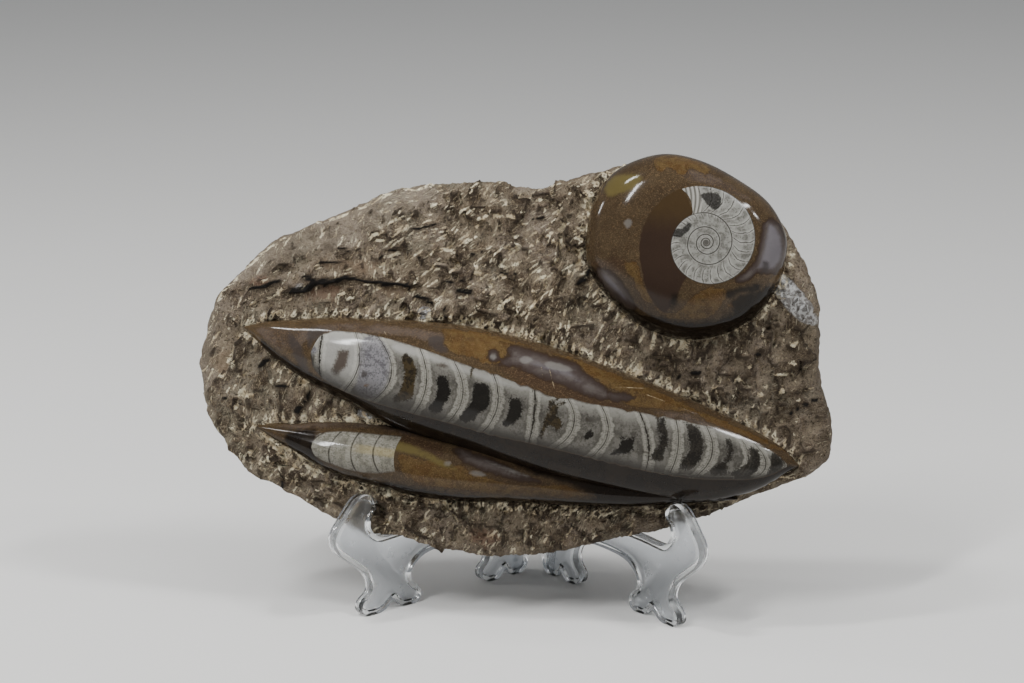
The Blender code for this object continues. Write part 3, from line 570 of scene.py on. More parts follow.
BIG = Ridge(BIG_START, BIG_END, BIG_RIDGE, BIG_ROUNDNESS, BIG_LEAN)
SMALL = Ridge(SMALL_START, SMALL_END, SMALL_RIDGE, SMALL_ROUNDNESS, SMALL_LEAN)
SLAB = Outline(SLAB_OUTLINE, SLAB_MIDDLE)
BOSS = Outline(BOSS_OUTLINE, BOSS_MIDDLE)


def boss_height(u, v):
    """A flat-topped dome, lowest at its outline."""
    share = np.minimum(BOSS.share(u, v), 1)
    return BOSS_HEIGHT * (1 - share ** 5) ** 0.5 - 1.6 * share ** 2 + 0.6 + polish(u, v)


def boss_depth_inside(u, v):
    return (1 - BOSS.share(u, v)) * BOSS_RADIUS


# =====================================================================  working on a mesh by hand

def pick(piece):
    """Select a piece and nothing else."""
    bpy.ops.object.select_all(action="DESELECT")
    bpy.context.view_layer.objects.active = piece
    piece.select_set(True)


def start(name, add, **settings):
    """Add a primitive, with nothing else selected, and name it."""
    if bpy.context.object and bpy.context.object.mode == "EDIT":
        bpy.ops.object.mode_set(mode="OBJECT")
    bpy.ops.object.select_all(action="DESELECT")
    add(**settings)
    piece = bpy.context.object
    piece.name = piece.data.name = name
    return piece


def start_grid(name, columns, rows):
    """A flat grid of cells from -1 to 1 each way."""
    return start(name, bpy.ops.mesh.primitive_grid_add, x_subdivisions=columns, y_subdivisions=rows, size=2)


def edit(piece, kind):
    """Go into edit mode on a piece with nothing selected; kind is VERT, EDGE or FACE."""
    pick(piece)
    bpy.ops.object.mode_set(mode="EDIT")
    bpy.ops.mesh.select_mode(type=kind)
    bpy.ops.mesh.select_all(action="DESELECT")


def choose(piece, kind, wanted):
    """Select, in edit mode, the vertices, edges or faces for which wanted(element) is true."""
    mesh = bmesh.from_edit_mesh(piece.data)
    elements = {"VERT": mesh.verts, "EDGE": mesh.edges, "FACE": mesh.faces}[kind]
    bpy.ops.mesh.select_all(action="DESELECT")
    for element in elements:
        if wanted(element):
            element.select_set(True)
    bmesh.update_edit_mesh(piece.data)


def leave_edit():
    bpy.ops.object.mode_set(mode="OBJECT")


def read(piece, layer, key):
    """Three numbers for each of the piece's points: its coordinates or its normal."""
    values = np.empty(len(piece.data.vertices) * 3, np.float32)
    getattr(piece.data, layer).foreach_get(key, values)
    return values.reshape(-1, 3).astype(float)


def read_points(piece):
    return read(piece, "vertices", "co")


def write_points(piece, points):
    piece.data.vertices.foreach_set("co", points.astype(np.float32).ravel())
    piece.data.update()


def paint(piece, name, values):
    """Keep a value for each of the piece's points, for its finish to read."""
    layer = piece.data.attributes.new(name, "FLOAT", "POINT")
    layer.data.foreach_set("value", np.asarray(values, np.float32))


def face_outwards(piece):
    edit(piece, "FACE")
    bpy.ops.mesh.select_all(action="SELECT")
    bpy.ops.mesh.normals_make_consistent(inside=False)
    leave_edit()


def finish_piece(piece, material, node, sharp):
    """Shade the piece, give it its finish, and put it in place of its solids."""
    pick(piece)
    bpy.ops.object.shade_smooth_by_angle(angle=radians(sharp))
    piece.data.materials.clear()
    piece.data.materials.append(material)
    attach(piece, "root")
    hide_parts(node)
    return piece


def apply_modifier(piece, kind, **settings):
    """Give the piece a modifier and apply it."""
    modifier = piece.modifiers.new(kind.title(), kind)
    for key, value in settings.items():
        setattr(modifier, key, value)
    pick(piece)
    bpy.ops.object.modifier_apply(modifier=modifier.name)


# =====================================================================  finishes

class Value:
    """One output of a node.  Arithmetic on it adds Math nodes."""

    def __init__(self, finish, socket):
        self.finish, self.socket = finish, socket

    def maths(self, operation, *values):
        return self.finish.node("ShaderNodeMath", {"operation": operation}, dict(enumerate(values)))

    def __add__(self, other):
        return self.maths("ADD", self, other)

    def __radd__(self, other):
        return self.maths("ADD", other, self)

    def __sub__(self, other):
        return self.maths("SUBTRACT", self, other)

    def __rsub__(self, other):
        return self.maths("SUBTRACT", other, self)

    def __mul__(self, other):
        return self.maths("MULTIPLY", self, other)

    def __rmul__(self, other):
        return self.maths("MULTIPLY", other, self)

    def __truediv__(self, other):
        return self.maths("DIVIDE", self, other)

    def __rtruediv__(self, other):
        return self.maths("DIVIDE", other, self)

    def __pow__(self, other):
        return self.maths("POWER", self, other)

    def __rpow__(self, other):
        return self.maths("POWER", other, self)

    def __abs__(self):
        return self.maths("ABSOLUTE", self)

    def fraction(self):
        return self.maths("FRACT", self)

    def clamp(self):
        return self.finish.node("ShaderNodeClamp", {}, {0: self})

    def rise(self, low, high):
        """0 below low, 1 above high, and smooth between them."""
        return self.finish.node("ShaderNodeMapRange", {"interpolation_type": "SMOOTHSTEP"},
                                {"Value": self, "From Min": low, "From Max": high})


class Finish:
    """A material under construction; place is where on the object it is, in millimetres."""

    def __init__(self, name):
        self.material = bpy.data.materials.new(name)
        self.material.use_nodes = True
        self.tree = self.material.node_tree
        self.shader = self.tree.nodes["Principled BSDF"]
        self.colour = None
        metres = self.node("ShaderNodeTexCoord", {}, {}, "Object")
        self.place = self.node("ShaderNodeVectorMath", {"operation": "SCALE"}, {0: metres, "Scale": 1 / MM})

    def node(self, kind, settings, sockets, output=0):
        """Add a node: its settings first, then the values or links of its sockets."""
        made = self.tree.nodes.new(kind)
        for key, value in settings.items():
            setattr(made, key, value)
        for key, value in sockets.items():
            self.connect(made.inputs[key], value)
        return Value(self, made.outputs[output])

    def connect(self, socket, value):
        if isinstance(value, Value):
            self.tree.links.new(value.socket, socket)
        else:
            socket.default_value = value

    def done(self, **sockets):
        """Set the shader's sockets and give the material."""
        for key, value in sockets.items():
            self.connect(self.shader.inputs[key.replace("_", " ")], value)
        return self.material

    def painted(self, name):
        return self.node("ShaderNodeAttribute", {"attribute_name": name}, {}, "Fac")

    def face_axis(self, axis):
        """How far, in millimetres, the place is along u, v or w of the slab's face."""
        direction = tuple(float(part) for part in FACE_AXES[axis])
        offset = float(FACE_ORIGIN @ FACE_AXES[axis])
        return self.node("ShaderNodeVectorMath", {"operation": "DOT_PRODUCT"},
                         {0: self.place, 1: direction}, "Value") - offset

    def noise(self, size, detail=3.0, roughness=0.55, distortion=0.0, place=None):
        return self.node("ShaderNodeTexNoise", {}, {
            "Vector": place or self.place, "Scale": 1 / size, "Detail": detail, "Roughness": roughness,
            "Distortion": distortion})

    def cells(self, place, size, output="Distance", dimensions="3D"):
        return self.node("ShaderNodeTexVoronoi", {"voronoi_dimensions": dimensions},
                         {"Vector": place, "Scale": 1 / size}, output)

    def mix(self, share, first, second):
        """A blend of two colours, each a value or a six-digit code."""
        first, second = (rgb(tone) if isinstance(tone, str) else tone for tone in (first, second))
        return self.node("ShaderNodeMix", {"data_type": "RGBA"}, {0: share, 6: first, 7: second}, 2)

    def lay(self, share, tone):
        """Lay a colour over what is already there."""
        self.colour = self.mix(share, self.colour, tone)

    def stretched(self, scales):
        return self.node("ShaderNodeVectorMath", {"operation": "MULTIPLY"}, {0: self.place, 1: scales})

    def together(self, x, y, z=0.0):
        return self.node("ShaderNodeCombineXYZ", {}, {0: x, 1: y, 2: z})

    def bump(self, height, strength, distance):
        return self.node("ShaderNodeBump", {}, {"Height": height, "Strength": strength,
                                                "Distance": distance * MM})

    def patch(self, name, wobble, edge=0.06):
        """A painted patch with its edge broken up."""
        return (self.painted(name) + wobble).rise(-edge, edge)


def strokes(finish, angle, length, width, chance, bend, ragged):
    """Short ragged chisel strokes lying one way on the slab's face."""
    u, v = finish.face_axis(0), finish.face_axis(1)
    along = u * cos(radians(angle)) + v * sin(radians(angle))
    across = v * cos(radians(angle)) - u * sin(radians(angle)) + bend
    spot = finish.together(along / (2 * length) + angle, across / (2 * width))
    near = (finish.cells(spot, 1.0, "Distance", "2D") + ragged).rise(0.27, 0.2)
    return near * (finish.cells(spot, 1.0, "Color", "2D") + chance).rise(0.98, 1.0)


def chiselled_stone():
    """The broken ground: brown stone, its stains, painted shade in its crevices, cracks and low parts,
    painted highlight on its raised parts, pale chisel scratches, and punches along the rims.
    """
    finish = Finish("chiselled_stone")
    broad = finish.noise(16, 3)
    middling = finish.noise(3.4, 4, 0.6)
    fine = finish.noise(1.1, 3, 0.65)
    grit = finish.noise(0.45, 2)
    mottle, speckle, sand = middling - 0.5, fine - 0.5, grit - 0.5
    finish.colour = finish.mix((broad + 0.6 * mottle).rise(0.42, 0.58), "6c6051", "83776a")
    greenish = finish.noise(22, 2).rise(0.5, 0.62)
    finish.lay(greenish * 0.5, "6d6a5c")
    finish.lay((middling + 0.4 * speckle).rise(0.48, 0.62) * 0.75, "534334")
    rear = finish.painted("worked").rise(0.08, 0.0)
    stain = finish.noise(24, 4, 0.6, 0.6) + 0.3 * mottle
    finish.lay(rear * stain.rise(0.5, 0.62) * 0.6, "8d7b66")
    finish.lay(rear * stain.rise(0.44, 0.32) * 0.6, "4d3b2b")
    # Painted shade in the low parts of the ground and painted highlight on its high parts.
    sunk = finish.painted("sunk") + 0.9 * mottle + 0.5 * speckle
    finish.lay(sunk.rise(0.0, 0.8) * 0.7, "382c20")
    finish.lay(sunk.rise(-0.1, -0.8) * 0.35, "a59781")
    finish.lay((fine + 0.5 * sand).rise(0.54, 0.68) * 0.5, "a89a83")
    finish.lay((fine + 0.6 * sand).rise(0.44, 0.34) * 0.85, "30261b")
    grains = finish.noise(0.3, 1)
    finish.lay(grains.rise(0.58, 0.7) * 0.45, "c0b08f")
    finish.lay(grains.rise(0.42, 0.3) * 0.45, "2c2219")
    wobble = 7 * mottle + 4 * speckle
    finish.lay(finish.patch("tan", wobble, 1.5) * 0.45, "8c7862")
    finish.lay(finish.patch("skin", wobble, 3.0) * 0.4, "94897a")
    finish.lay(finish.patch("pink", wobble, 1.0) * 0.45, "80604f")
    crystal = finish.mix((fine + 0.8 * mottle).rise(0.42, 0.6), "dcdcdb", "7f7d7b")
    white = finish.patch("white", 0.4 * wobble, 0.4)
    finish.lay(white * 0.8, crystal)
    # Painted shade in the crevices between the chips.
    hollow = finish.painted("hollow") + 1.3 * speckle + 0.8 * sand
    finish.lay(hollow.rise(0.05, 0.6) * 0.75, "241b13")
    # Painted shade to the lower right, at the far left and along the bottom, deepest as painted shadow in
    # the cracks.
    finish.lay(finish.painted("painted_shade"), "2b2319")
    finish.lay((finish.painted("painted_shade") + 0.4 * speckle).rise(0.5, 0.75), "0f0c09")
    slant = finish.painted("slant")
    bend, ragged = 2.0 * mottle, 0.8 * speckle + 0.5 * sand
    clumps = 0.9 * (finish.noise(8, 2) - 0.5) - 0.34 + 0.3 * finish.painted("worked")
    scratches = 0
    for angle in (14, 36, 60, 84):
        facing = slant.rise(angle - 24, angle - 10) * slant.rise(angle + 24, angle + 10)
        long = strokes(finish, angle, 5.6, 0.75, clumps + 0.27, bend, ragged)
        short = strokes(finish, angle + 11, 2.4, 0.7, clumps + 0.22, bend, ragged)
        hairs = strokes(finish, angle + 4, 2.2, 0.36, 0.4 * clumps + 0.34, bend, 0.6 * ragged)
        scratches = facing * (long + 0.9 * short + 0.45 * hairs) + scratches
    # No scratches show in the painted crevice shade or on the white crystals.
    scratches = scratches.clamp() * hollow.rise(0.5, 0.1) * (1 - 0.8 * white)
    beside = finish.painted("beside") - 1.5 - 1.2 * (finish.noise(5, 2) - 0.5)
    way = finish.painted("way") + 3.0 * (finish.noise(12, 1) - 0.5)
    sideways = abs((way / PUNCH_SPACING).fraction() - 0.5) * PUNCH_SPACING
    from_punch = (sideways * sideways + beside * beside) ** 0.5
    from_punch = from_punch + 1.6 * speckle + 1.2 * mottle
    tail = (sideways + 0.9 * speckle).rise(0.55, 0.3) * beside.rise(3.0, 1.2)
    tail = tail * beside.rise(-0.4, 0.2) * 0.8
    punched = (from_punch.rise(1.05, 0.6) + tail).clamp() * finish.painted("punched")
    # Chalky chisel bruises together with painted highlight on raised points.
    bruise_and_highlight = finish.painted("bruise_and_highlight") + 1.1 * speckle + 0.7 * sand
    cream = (bruise_and_highlight.rise(0.5, 0.8) + 0.85 * scratches + punched).clamp()
    tint = finish.mix(middling.rise(0.4, 0.6), "fdf2d2", "d6c39f")
    # The pale marks are dimmed under the painted shade.
    finish.lay(cream * (0.92 - 1.1 * finish.painted("painted_shade")), tint)
    # Painted shade in the punch holes.
    hole = from_punch.rise(0.42, 0.2) * finish.painted("punched")
    finish.lay(hole * 0.85, "2a2119")
    relief = 0.9 * fine + 0.3 * grit + 1.6 * middling - 0.3 * scratches - 0.5 * hole
    return finish.done(Base_Color=finish.colour, Roughness=0.78 + 0.15 * fine,
                       Normal=finish.bump(relief, 1.0, 1.1), Specular_IOR_Level=0.25)


def hairline(finish, start_u, start_v, end_u, end_v, width):
    """A fine straight scratch from one place on the face to another."""
    length = float(np.hypot(end_u - start_u, end_v - start_v))
    along_u, along_v = (end_u - start_u) / length, (end_v - start_v) / length
    u, v = finish.face_axis(0) - start_u, finish.face_axis(1) - start_v
    along = u * along_u + v * along_v
    near = abs(v * along_u - u * along_v).rise(width, 0.4 * width)
    return near * along.rise(0, 0.3) * along.rise(length, length - 1.0)


def polished_stone():
    """The polished ground colour with its painted patches, painted shade and highlights among them, fine
    grains, nicks and chalky rim.
    """
    finish = Finish("polished_stone")
    broad = finish.noise(11, 4, 0.6, 0.8)
    middling = finish.noise(2.8, 5, 0.62, 0.3)
    fine = finish.noise(0.8, 3, 0.6)
    mottle, speckle = middling - 0.5, fine - 0.5
    wobble = 4.2 * mottle + 1.2 * speckle
    finish.colour = finish.mix(broad.rise(0.38, 0.62), "413527", "4c3f2e")
    finish.lay((middling + 0.3 * speckle).rise(0.5, 0.66) * 0.5, "3b2e20")
    grey = finish.mix((broad + 0.3 * mottle).rise(0.4, 0.6), "584d45", "463b32")
    finish.lay(finish.patch("grey", wobble, 0.9) * 0.85, grey)
    ochre_field = finish.painted("ochre") + wobble
    ochre = finish.mix((middling + 0.5 * speckle).rise(0.42, 0.6), "5f4c2e", "473722")
    ochre = finish.mix((broad + 0.6 * mottle).rise(0.5, 0.62) * 0.45, ochre, "5e4425")
    finish.lay(ochre_field.rise(-0.5, -0.1) * 0.35, "2e2118")
    finish.lay(ochre_field.rise(-0.1, 0.4) * 0.92, ochre)
    finish.lay(finish.patch("rust", wobble, 0.8) * 0.8, "413226")
    finish.lay(fine.rise(0.54, 0.68) * 0.28, "84694a")
    grains = finish.noise(0.32, 1)
    finish.lay(grains.rise(0.56, 0.7) * 0.34, "8a7352")
    finish.lay(grains.rise(0.44, 0.3) * 0.45, "251b12")
    body = (finish.painted("body") + 0.25 * mottle).rise(-0.05, 0.05)
    golden = (finish.face_axis(1) + 6 * (broad - 0.5)).rise(38, 50)
    finish.lay(body * 0.92, finish.mix(golden, "33261f", "413320"))
    # Painted shade on the lower flanks, under the large ridge and on the lower part of the boss.
    dark = finish.mix((broad + 0.4 * mottle).rise(0.4, 0.62), "120d0a", "1d1711")
    finish.lay(finish.patch("dark", wobble, 1.1) * 0.95, dark)
    lilac_field = finish.painted("lilac") + 0.8 * wobble
    finish.lay(lilac_field.rise(-0.6, -0.1) * 0.75, "32261f")
    lilac = finish.mix((broad + 0.4 * mottle).rise(0.36, 0.62), "5b5450", "463d3a")
    lilac = finish.mix(lilac_field.rise(0.2, 2.6), "3a302b", lilac)
    lilac = finish.mix(lilac_field.rise(2.4, 6.0) * 0.6, lilac, "817e84")
    finish.lay(lilac_field.rise(-0.1, 0.4) * 0.92, lilac)
    finish.lay(finish.patch("blue", 0.6 * wobble, 0.9) * 0.75, "3b3634")
    # Olive green: a patch of the boss's stone, and on the small ridge a painted golden highlight along its
    # crest.
    finish.lay(finish.patch("green", 0.5 * wobble, 1.0) * 0.85, "685d36")
    # Painted highlights.
    finish.lay(finish.patch("light", 0.3 * wobble, 0.5) * 0.5, "85827d")
    # Painted shade, as much as each piece keeps for it.
    finish.lay(finish.painted("deep"), "15100b")
    nicks = 0
    for line in NICKS:
        nicks = hairline(finish, *line, 0.18) + nicks
    finish.lay(nicks.clamp() * (fine + middling).rise(0.85, 1.2) * 0.6, "bfae8c")
    rim = (finish.painted("rim") - 0.9 * speckle - 2.4 * mottle).rise(0.8, 0.3)
    finish.lay(rim * 0.5, "b5a88f")
    scratches = finish.noise(0.5, 2, place=finish.stretched((0.16, 1.0, 1.2))).rise(0.66, 0.72)
    return finish.done(Base_Color=finish.colour,
                       Roughness=0.09 + 0.04 * middling + 0.08 * scratches + 0.35 * rim,
                       Normal=finish.bump(middling, 0.05, 0.3), Specular_IOR_Level=0.22)


def calcite(name, big):
    """The shell's finish: chambers lined with pale fibrous calcite, between thin dark septa, with painted
    shade along the lower edge, painted light along the top of the large shell and a painted highlight along
    the small shell's crest.
    """
    finish = Finish(name)
    along, across = finish.painted("along"), finish.painted("across")
    level = finish.painted("level")
    middling = finish.noise(2.6, 4, 0.62)
    fine = finish.noise(0.7, 3, 0.65)
    grit = finish.noise(0.35, 2)
    mottle, speckle, sand = middling - 0.5, fine - 0.5, grit - 0.5
    fibres = finish.noise(1.0, 3, 0.6, place=finish.together(along * 0.45, across * 2.6))
    beads = finish.cells(finish.together(along * 0.3, across, 3.0), 1.5)
    wobble = 1.7 * mottle + 2.0 * speckle + 0.8 * sand
    phase = finish.painted("chamber") + 0.05 * mottle + 0.014 * speckle
    part = phase.fraction()
    from_septum = (0.5 - abs(part - 0.5)) * finish.painted("spacing")
    ragged_gap = from_septum + 1.6 * mottle + 0.9 * (beads - 0.4) + 0.5 * speckle
    lining = ragged_gap.rise(2.7, 1.9)
    pale, grey, deep = "74716a", "5a5751", "423f3a"
    if not big:
        pale, grey, deep = "807d72", "69665c", "4f4d44"
    finish.colour = finish.mix((middling + 0.5 * speckle).rise(0.4, 0.62), pale, grey)
    blotches = (finish.noise(5, 3, 0.6) + 0.3 * speckle).rise(0.5, 0.64)
    finish.lay(blotches * (0.65 if big else 0.3), deep)
    if big:
        fringe = ragged_gap.rise(3.3, 2.6) * ragged_gap.rise(1.9, 2.4)
        finish.lay(fringe * 0.45, "4d4a43")
    finish.lay(lining * (0.85 if big else 0.2), "9c998f")
    dashes = (fibres + 0.3 * speckle).rise(0.5, 0.66)
    finish.lay(dashes * (0.2 + 0.5 * lining), "56524a")
    finish.lay((fine + 0.5 * sand).rise(0.56, 0.7) * 0.5, "4a463f")
    if big:
        # Painted light along the top of the shell.
        painted_top_light = (level + 0.3 * mottle).rise(0.72, 0.98)
        finish.lay(painted_top_light * 0.5, "bab8ae")
        lilac = finish.mix((fine + 0.7 * mottle).rise(0.4, 0.62), "858387", "5f5d61")
        finish.lay(finish.patch("lilac", wobble, 0.8) * 0.8, lilac)
        finish.lay(finish.patch("white", wobble, 1.0) * 0.6, "b1afa9")
        core = (finish.painted("core") + wobble).rise(-0.7, 1.2)
        finish.lay(core * 0.9, "40342c")
        smoky = finish.mix((fine + 0.9 * mottle).rise(0.46, 0.6), "0a0807", "2d2924")
        finish.lay(finish.patch("smoky", 1.3 * wobble, 0.4) * 0.95, smoky)
        olive = finish.mix((middling + 0.5 * speckle).rise(0.45, 0.6), "3b301b", "1f190f")
        finish.lay(finish.patch("olive", wobble, 0.35) * 0.95, olive)
        glints = (fine + 0.6 * sand).rise(0.62, 0.7) * 0.5
        black = finish.mix(glints, "0a0807", "302d29")
        finish.lay(finish.patch("black", wobble, 0.3) * 0.97, black)
        finish.lay(finish.patch("dot", 0.4 * wobble, 0.4) * 0.8, "6e5230")
        line_gap = finish.painted("lines") + 0.5 * speckle
        finish.lay(line_gap.rise(0.42, 0.1) * 0.7, "332c27")
        gap = from_septum + 1.6 * mottle + 0.9 * speckle
        crack = gap.rise(0.6, 0.2) * finish.noise(1.1, 2).rise(0.38, 0.5)
        finish.lay(crack * finish.painted("cracked") * 0.92, "1b1613")
        twin = abs(from_septum - 0.75 + 0.5 * mottle)
        finish.lay(twin.rise(0.2, 0.05) * 0.45, "4a463f")
    else:
        # Painted golden highlight along the crest.
        crest = abs(across + 3.0).rise(2.2, 0.8)
        finish.lay(crest * along.rise(34, 44) * 0.4, "9a8c5c")
    line = (from_septum + 0.25 * speckle).rise(0.36 if big else 0.48, 0.14)
    finish.lay(line * (0.75 + 1.2 * mottle), "26211c")
    reach = 0.23 + 0.2 * along.rise(88, 60) if big else 0.32
    shade = (level + 0.2 * mottle + 0.1 * speckle).rise(reach, 0.02)
    finish.lay(shade * (0.85 if big else 0.3), "221e1a")
    if big:
        finish.lay(0.06 + along.rise(45, 110) * 0.31, "2c2924")
    edge = (finish.painted("rim") - 1.2 * mottle - 0.8 * speckle).rise(0.55, 0.1)
    finish.lay(edge * 0.6, "3b2f24")
    return finish.done(Base_Color=finish.colour, Roughness=0.06 + 0.07 * middling,
                       Normal=finish.bump(fine, 0.05, 0.2), Specular_IOR_Level=0.22)


def coil_calcite():
    """The coiled shell: log-spiral whorls crossed by bowed sutures."""
    finish = Finish("coil_calcite")
    u = finish.face_axis(0) - COIL_MIDDLE[0]
    v = finish.face_axis(1) - COIL_MIDDLE[1]
    middling = finish.noise(2.2, 4, 0.6)
    mottle = middling - 0.5
    fine = finish.noise(0.55, 3, 0.65)
    radius = (u * u + v * v) ** 0.5 + 0.25 * mottle
    turn = finish.node("ShaderNodeMath", {"operation": "ARCTAN2"}, {0: u, 1: v}) / tau
    whorl = radius.maths("LOGARITHM", radius / COIL_RADIUS, COIL_GROWTH) + turn
    inside = (whorl + 8.0).fraction()
    line_distance = 0.5 - abs(inside - 0.5)
    line_distance = line_distance * radius * float(np.log(COIL_GROWTH))
    bowed = turn * SUTURES + 2.2 * (inside - 0.5) * (inside - 0.5) - 0.7 * inside
    suture = (bowed + 0.45 * mottle + 40.0).fraction()
    suture_distance = (0.5 - abs(suture - 0.5)) * radius * (tau / SUTURES)
    outer = (radius + 1.5 * mottle).rise(8.5, 10.5)
    finish.colour = finish.mix(middling.rise(0.4, 0.62), "8b8a83", "6c6a64")
    blots = (fine + 0.9 * mottle).rise(0.52, 0.7)
    finish.lay(blots * 0.6, "56544e")
    finish.lay(suture_distance.rise(1.1, 0.3) * 0.35 * outer, "b5b3ac")
    finish.lay(suture_distance.rise(0.26, 0.08) * (0.08 + 0.8 * outer), "403d38")
    finish.lay(line_distance.rise(0.7, 0.2) * 0.3, "b9b7b0")
    finish.lay(line_distance.rise(0.34, 0.12) * 0.9, "35322e")
    mouth = turn.rise(-0.085, -0.07) * turn.rise(-0.018, -0.03)
    mouth = mouth * radius.rise(10.8, 11.6)
    bands = ((turn * tau * radius + 0.03 * (radius - 16) * (radius - 16)) / 1.55 + 40.0).fraction()
    banded = finish.mix(bands.rise(0.35, 0.6), "605d56", "a7a49c")
    finish.lay(mouth * 0.85, banded)
    black = finish.patch("black", 0.9 * mottle + 1.0 * (fine - 0.5), 0.35)
    finish.lay(black * 0.9, finish.mix(fine.rise(0.52, 0.72), "1b1815", "4e4b46"))
    eye = radius.rise(1.7, 0.5)
    finish.lay(eye * 0.6, "56534e")
    return finish.done(Base_Color=finish.colour, Roughness=0.14 + 0.12 * middling,
                       Normal=finish.bump(fine, 0.06, 0.2))


def clear_plastic():
    """Clear at the raised rims; the thinner web between them is dulled by dust and fine scuffs."""
    finish = Finish("clear_plastic")
    web = finish.painted("web") * (0.5 + finish.noise(6, 3))
    specks = finish.noise(0.5, 2).rise(0.55, 0.7) * web
    tint = finish.mix(web.clamp(), "f6f8f9", "dfe3e8")
    return finish.done(Base_Color=tint, Roughness=(0.04 + 0.26 * web + 0.3 * specks).clamp(),
                       Normal=finish.bump(finish.noise(1.6, 2), 0.05, 0.2),
                       Transmission_Weight=1.0, IOR=PLASTIC_IOR)


# =====================================================================  rock

def seat_level(points):
    """Lowest height of the slab's underside: dressed level over an arm, lower between them."""
    across, back = np.abs(points[:, 0] - HINGE[0]), HINGE[1] - points[:, 1]
    off_arm = np.abs(across * cos(PLATE_ANGLE) - back * sin(PLATE_ANGLE))
    return SEAT_HEIGHT - (SEAT_HEIGHT - BELLY_HEIGHT) * smoothstep(
        SEAT_HALF_WIDTH, SEAT_HALF_WIDTH + SEAT_SHOULDER, off_arm)


def chisel_direction(u, v):
    """Angle of the chisel strokes near each place, in degrees, and how much it scatters."""
    anchor_u, anchor_v, angle, scatter = np.array(CHISEL_DIRECTIONS, float).T[..., None]
    weight = 1 / (np.hypot(anchor_u - u, anchor_v - v) ** 3 + 20)
    weight /= weight.sum(axis=0)
    return (weight * angle).sum(axis=0), (weight * scatter).sum(axis=0)


def stroke_angle(u, v, chance):
    """Direction of one chisel stroke, off the usual one by chance."""
    angle, scatter = chisel_direction(u, v)
    return radians(float(angle[0] + scatter[0] * chance))


def depths_inside(u, v):
    """How far inside the large ridge, the small ridge and the boss each place is; negative outside."""
    return np.array([BIG.depth_inside(u, v), SMALL.depth_inside(u, v), boss_depth_inside(u, v)])


def on_open_ground(u, v, margin):
    """Whether a place is on the chiselled ground, this far from anything polished."""
    return depths_inside(u, v).max() < -margin and SLAB.share(u, v) < LIP_START


def chisel_marks(chance):
    """Every mark of the chisel: place, angle, length, width, depth and how white it is."""
    marks = []
    while len(marks) < CHISEL_STROKES:
        u, v = chance.uniform(-118, 118), chance.uniform(-80, 69)
        if on_open_ground(u, v, 0.4):
            length = chance.choice([2.0, 3.0, 4.2, 6.5], p=[0.34, 0.36, 0.2, 0.1])
            length *= chance.uniform(0.8, 1.25)
            marks.append((u, v, stroke_angle(u, v, chance.normal()), length, chance.uniform(0.45, 0.95),
                          chance.uniform(0.15, 0.55), chance.uniform(0.1, 0.75)))
    for _ in range(BRUISES):
        u, v = chance.uniform(-90, 40), chance.uniform(5, 55)
        if on_open_ground(u, v, 5):
            for _ in range(8):
                marks.append((u + chance.normal() * 1.6, v + chance.normal() * 1.6, chance.uniform(0, pi),
                              chance.uniform(1.5, 3.4), 0.7, 0.4, 1.0))
    for _ in range(SHORT_STROKES):
        u, v = chance.uniform(-118, -40), chance.uniform(-62, 8)
        if on_open_ground(u, v, 0.4):
            marks.append((u, v, radians(55) + 0.5 * chance.normal(), chance.uniform(1.2, 2.6),
                          chance.uniform(0.9, 1.3), chance.uniform(0.2, 0.5), chance.uniform(0.6, 1.05)))
    for width, strokes in STRUCK.items():
        for u, v, end_u, end_v in strokes:
            marks.append(((u + end_u) / 2, (v + end_v) / 2, np.arctan2(end_v - v, end_u - u),
                          float(np.hypot(end_u - u, end_v - v)) + 0.8, width, 0.3, 1.15))
    return marks


def punch_marks(chance):
    """Small round punches with the short strokes beside them, in rows along the polished rims."""
    punches, strokes = [], []

    def add(u, v, away_u, away_v, slant=None):
        off = chance.uniform(0.9, 2.2)
        spot_u, spot_v = u + away_u * off, v + away_v * off
        if SLAB.share(spot_u, spot_v) < LIP_START:
            punches.append((spot_u, spot_v, chance.uniform(0.35, 0.6), chance.uniform(0.3, 0.8)))
            angle = np.arctan2(away_v, away_u) + chance.normal() * 0.35
            reach = chance.uniform(1.4, 3.6)
            if slant:
                angle, reach = slant + 0.6 * (angle - np.arctan2(away_v, away_u)), 1.5 * reach
            middle_u, middle_v = spot_u + cos(angle) * reach * 0.4, spot_v + sin(angle) * reach * 0.4
            strokes.append((middle_u, middle_v, angle, reach,
                            chance.uniform(0.5, 0.9), 0.3, chance.uniform(0.6, 1.0)))

    for ridge, side, step in ((BIG, 1, 3.5), (BIG, -1, 4.4), (SMALL, 1, 3.6), (SMALL, -1, 3.0)):
        a = 1.5
        while a < ridge.last - 2:
            rim = ridge.rims(a)[0 if side > 0 else 1]
            add(*ridge.place(a, rim), *(ridge.across * side),
                radians(235) if ridge is SMALL and side < 0 else None)
            a += step * chance.uniform(0.75, 1.25)
    angle = radians(100)
    while angle < radians(400):
        reach = float(np.interp(angle, BOSS.angles, BOSS.reaches, period=tau))
        away_u, away_v = cos(angle), sin(angle)
        add(BOSS_MIDDLE[0] + away_u * reach, BOSS_MIDDLE[1] + away_v * reach, away_u, away_v)
        angle += 3.6 / reach * chance.uniform(0.75, 1.25)
    return punches, strokes


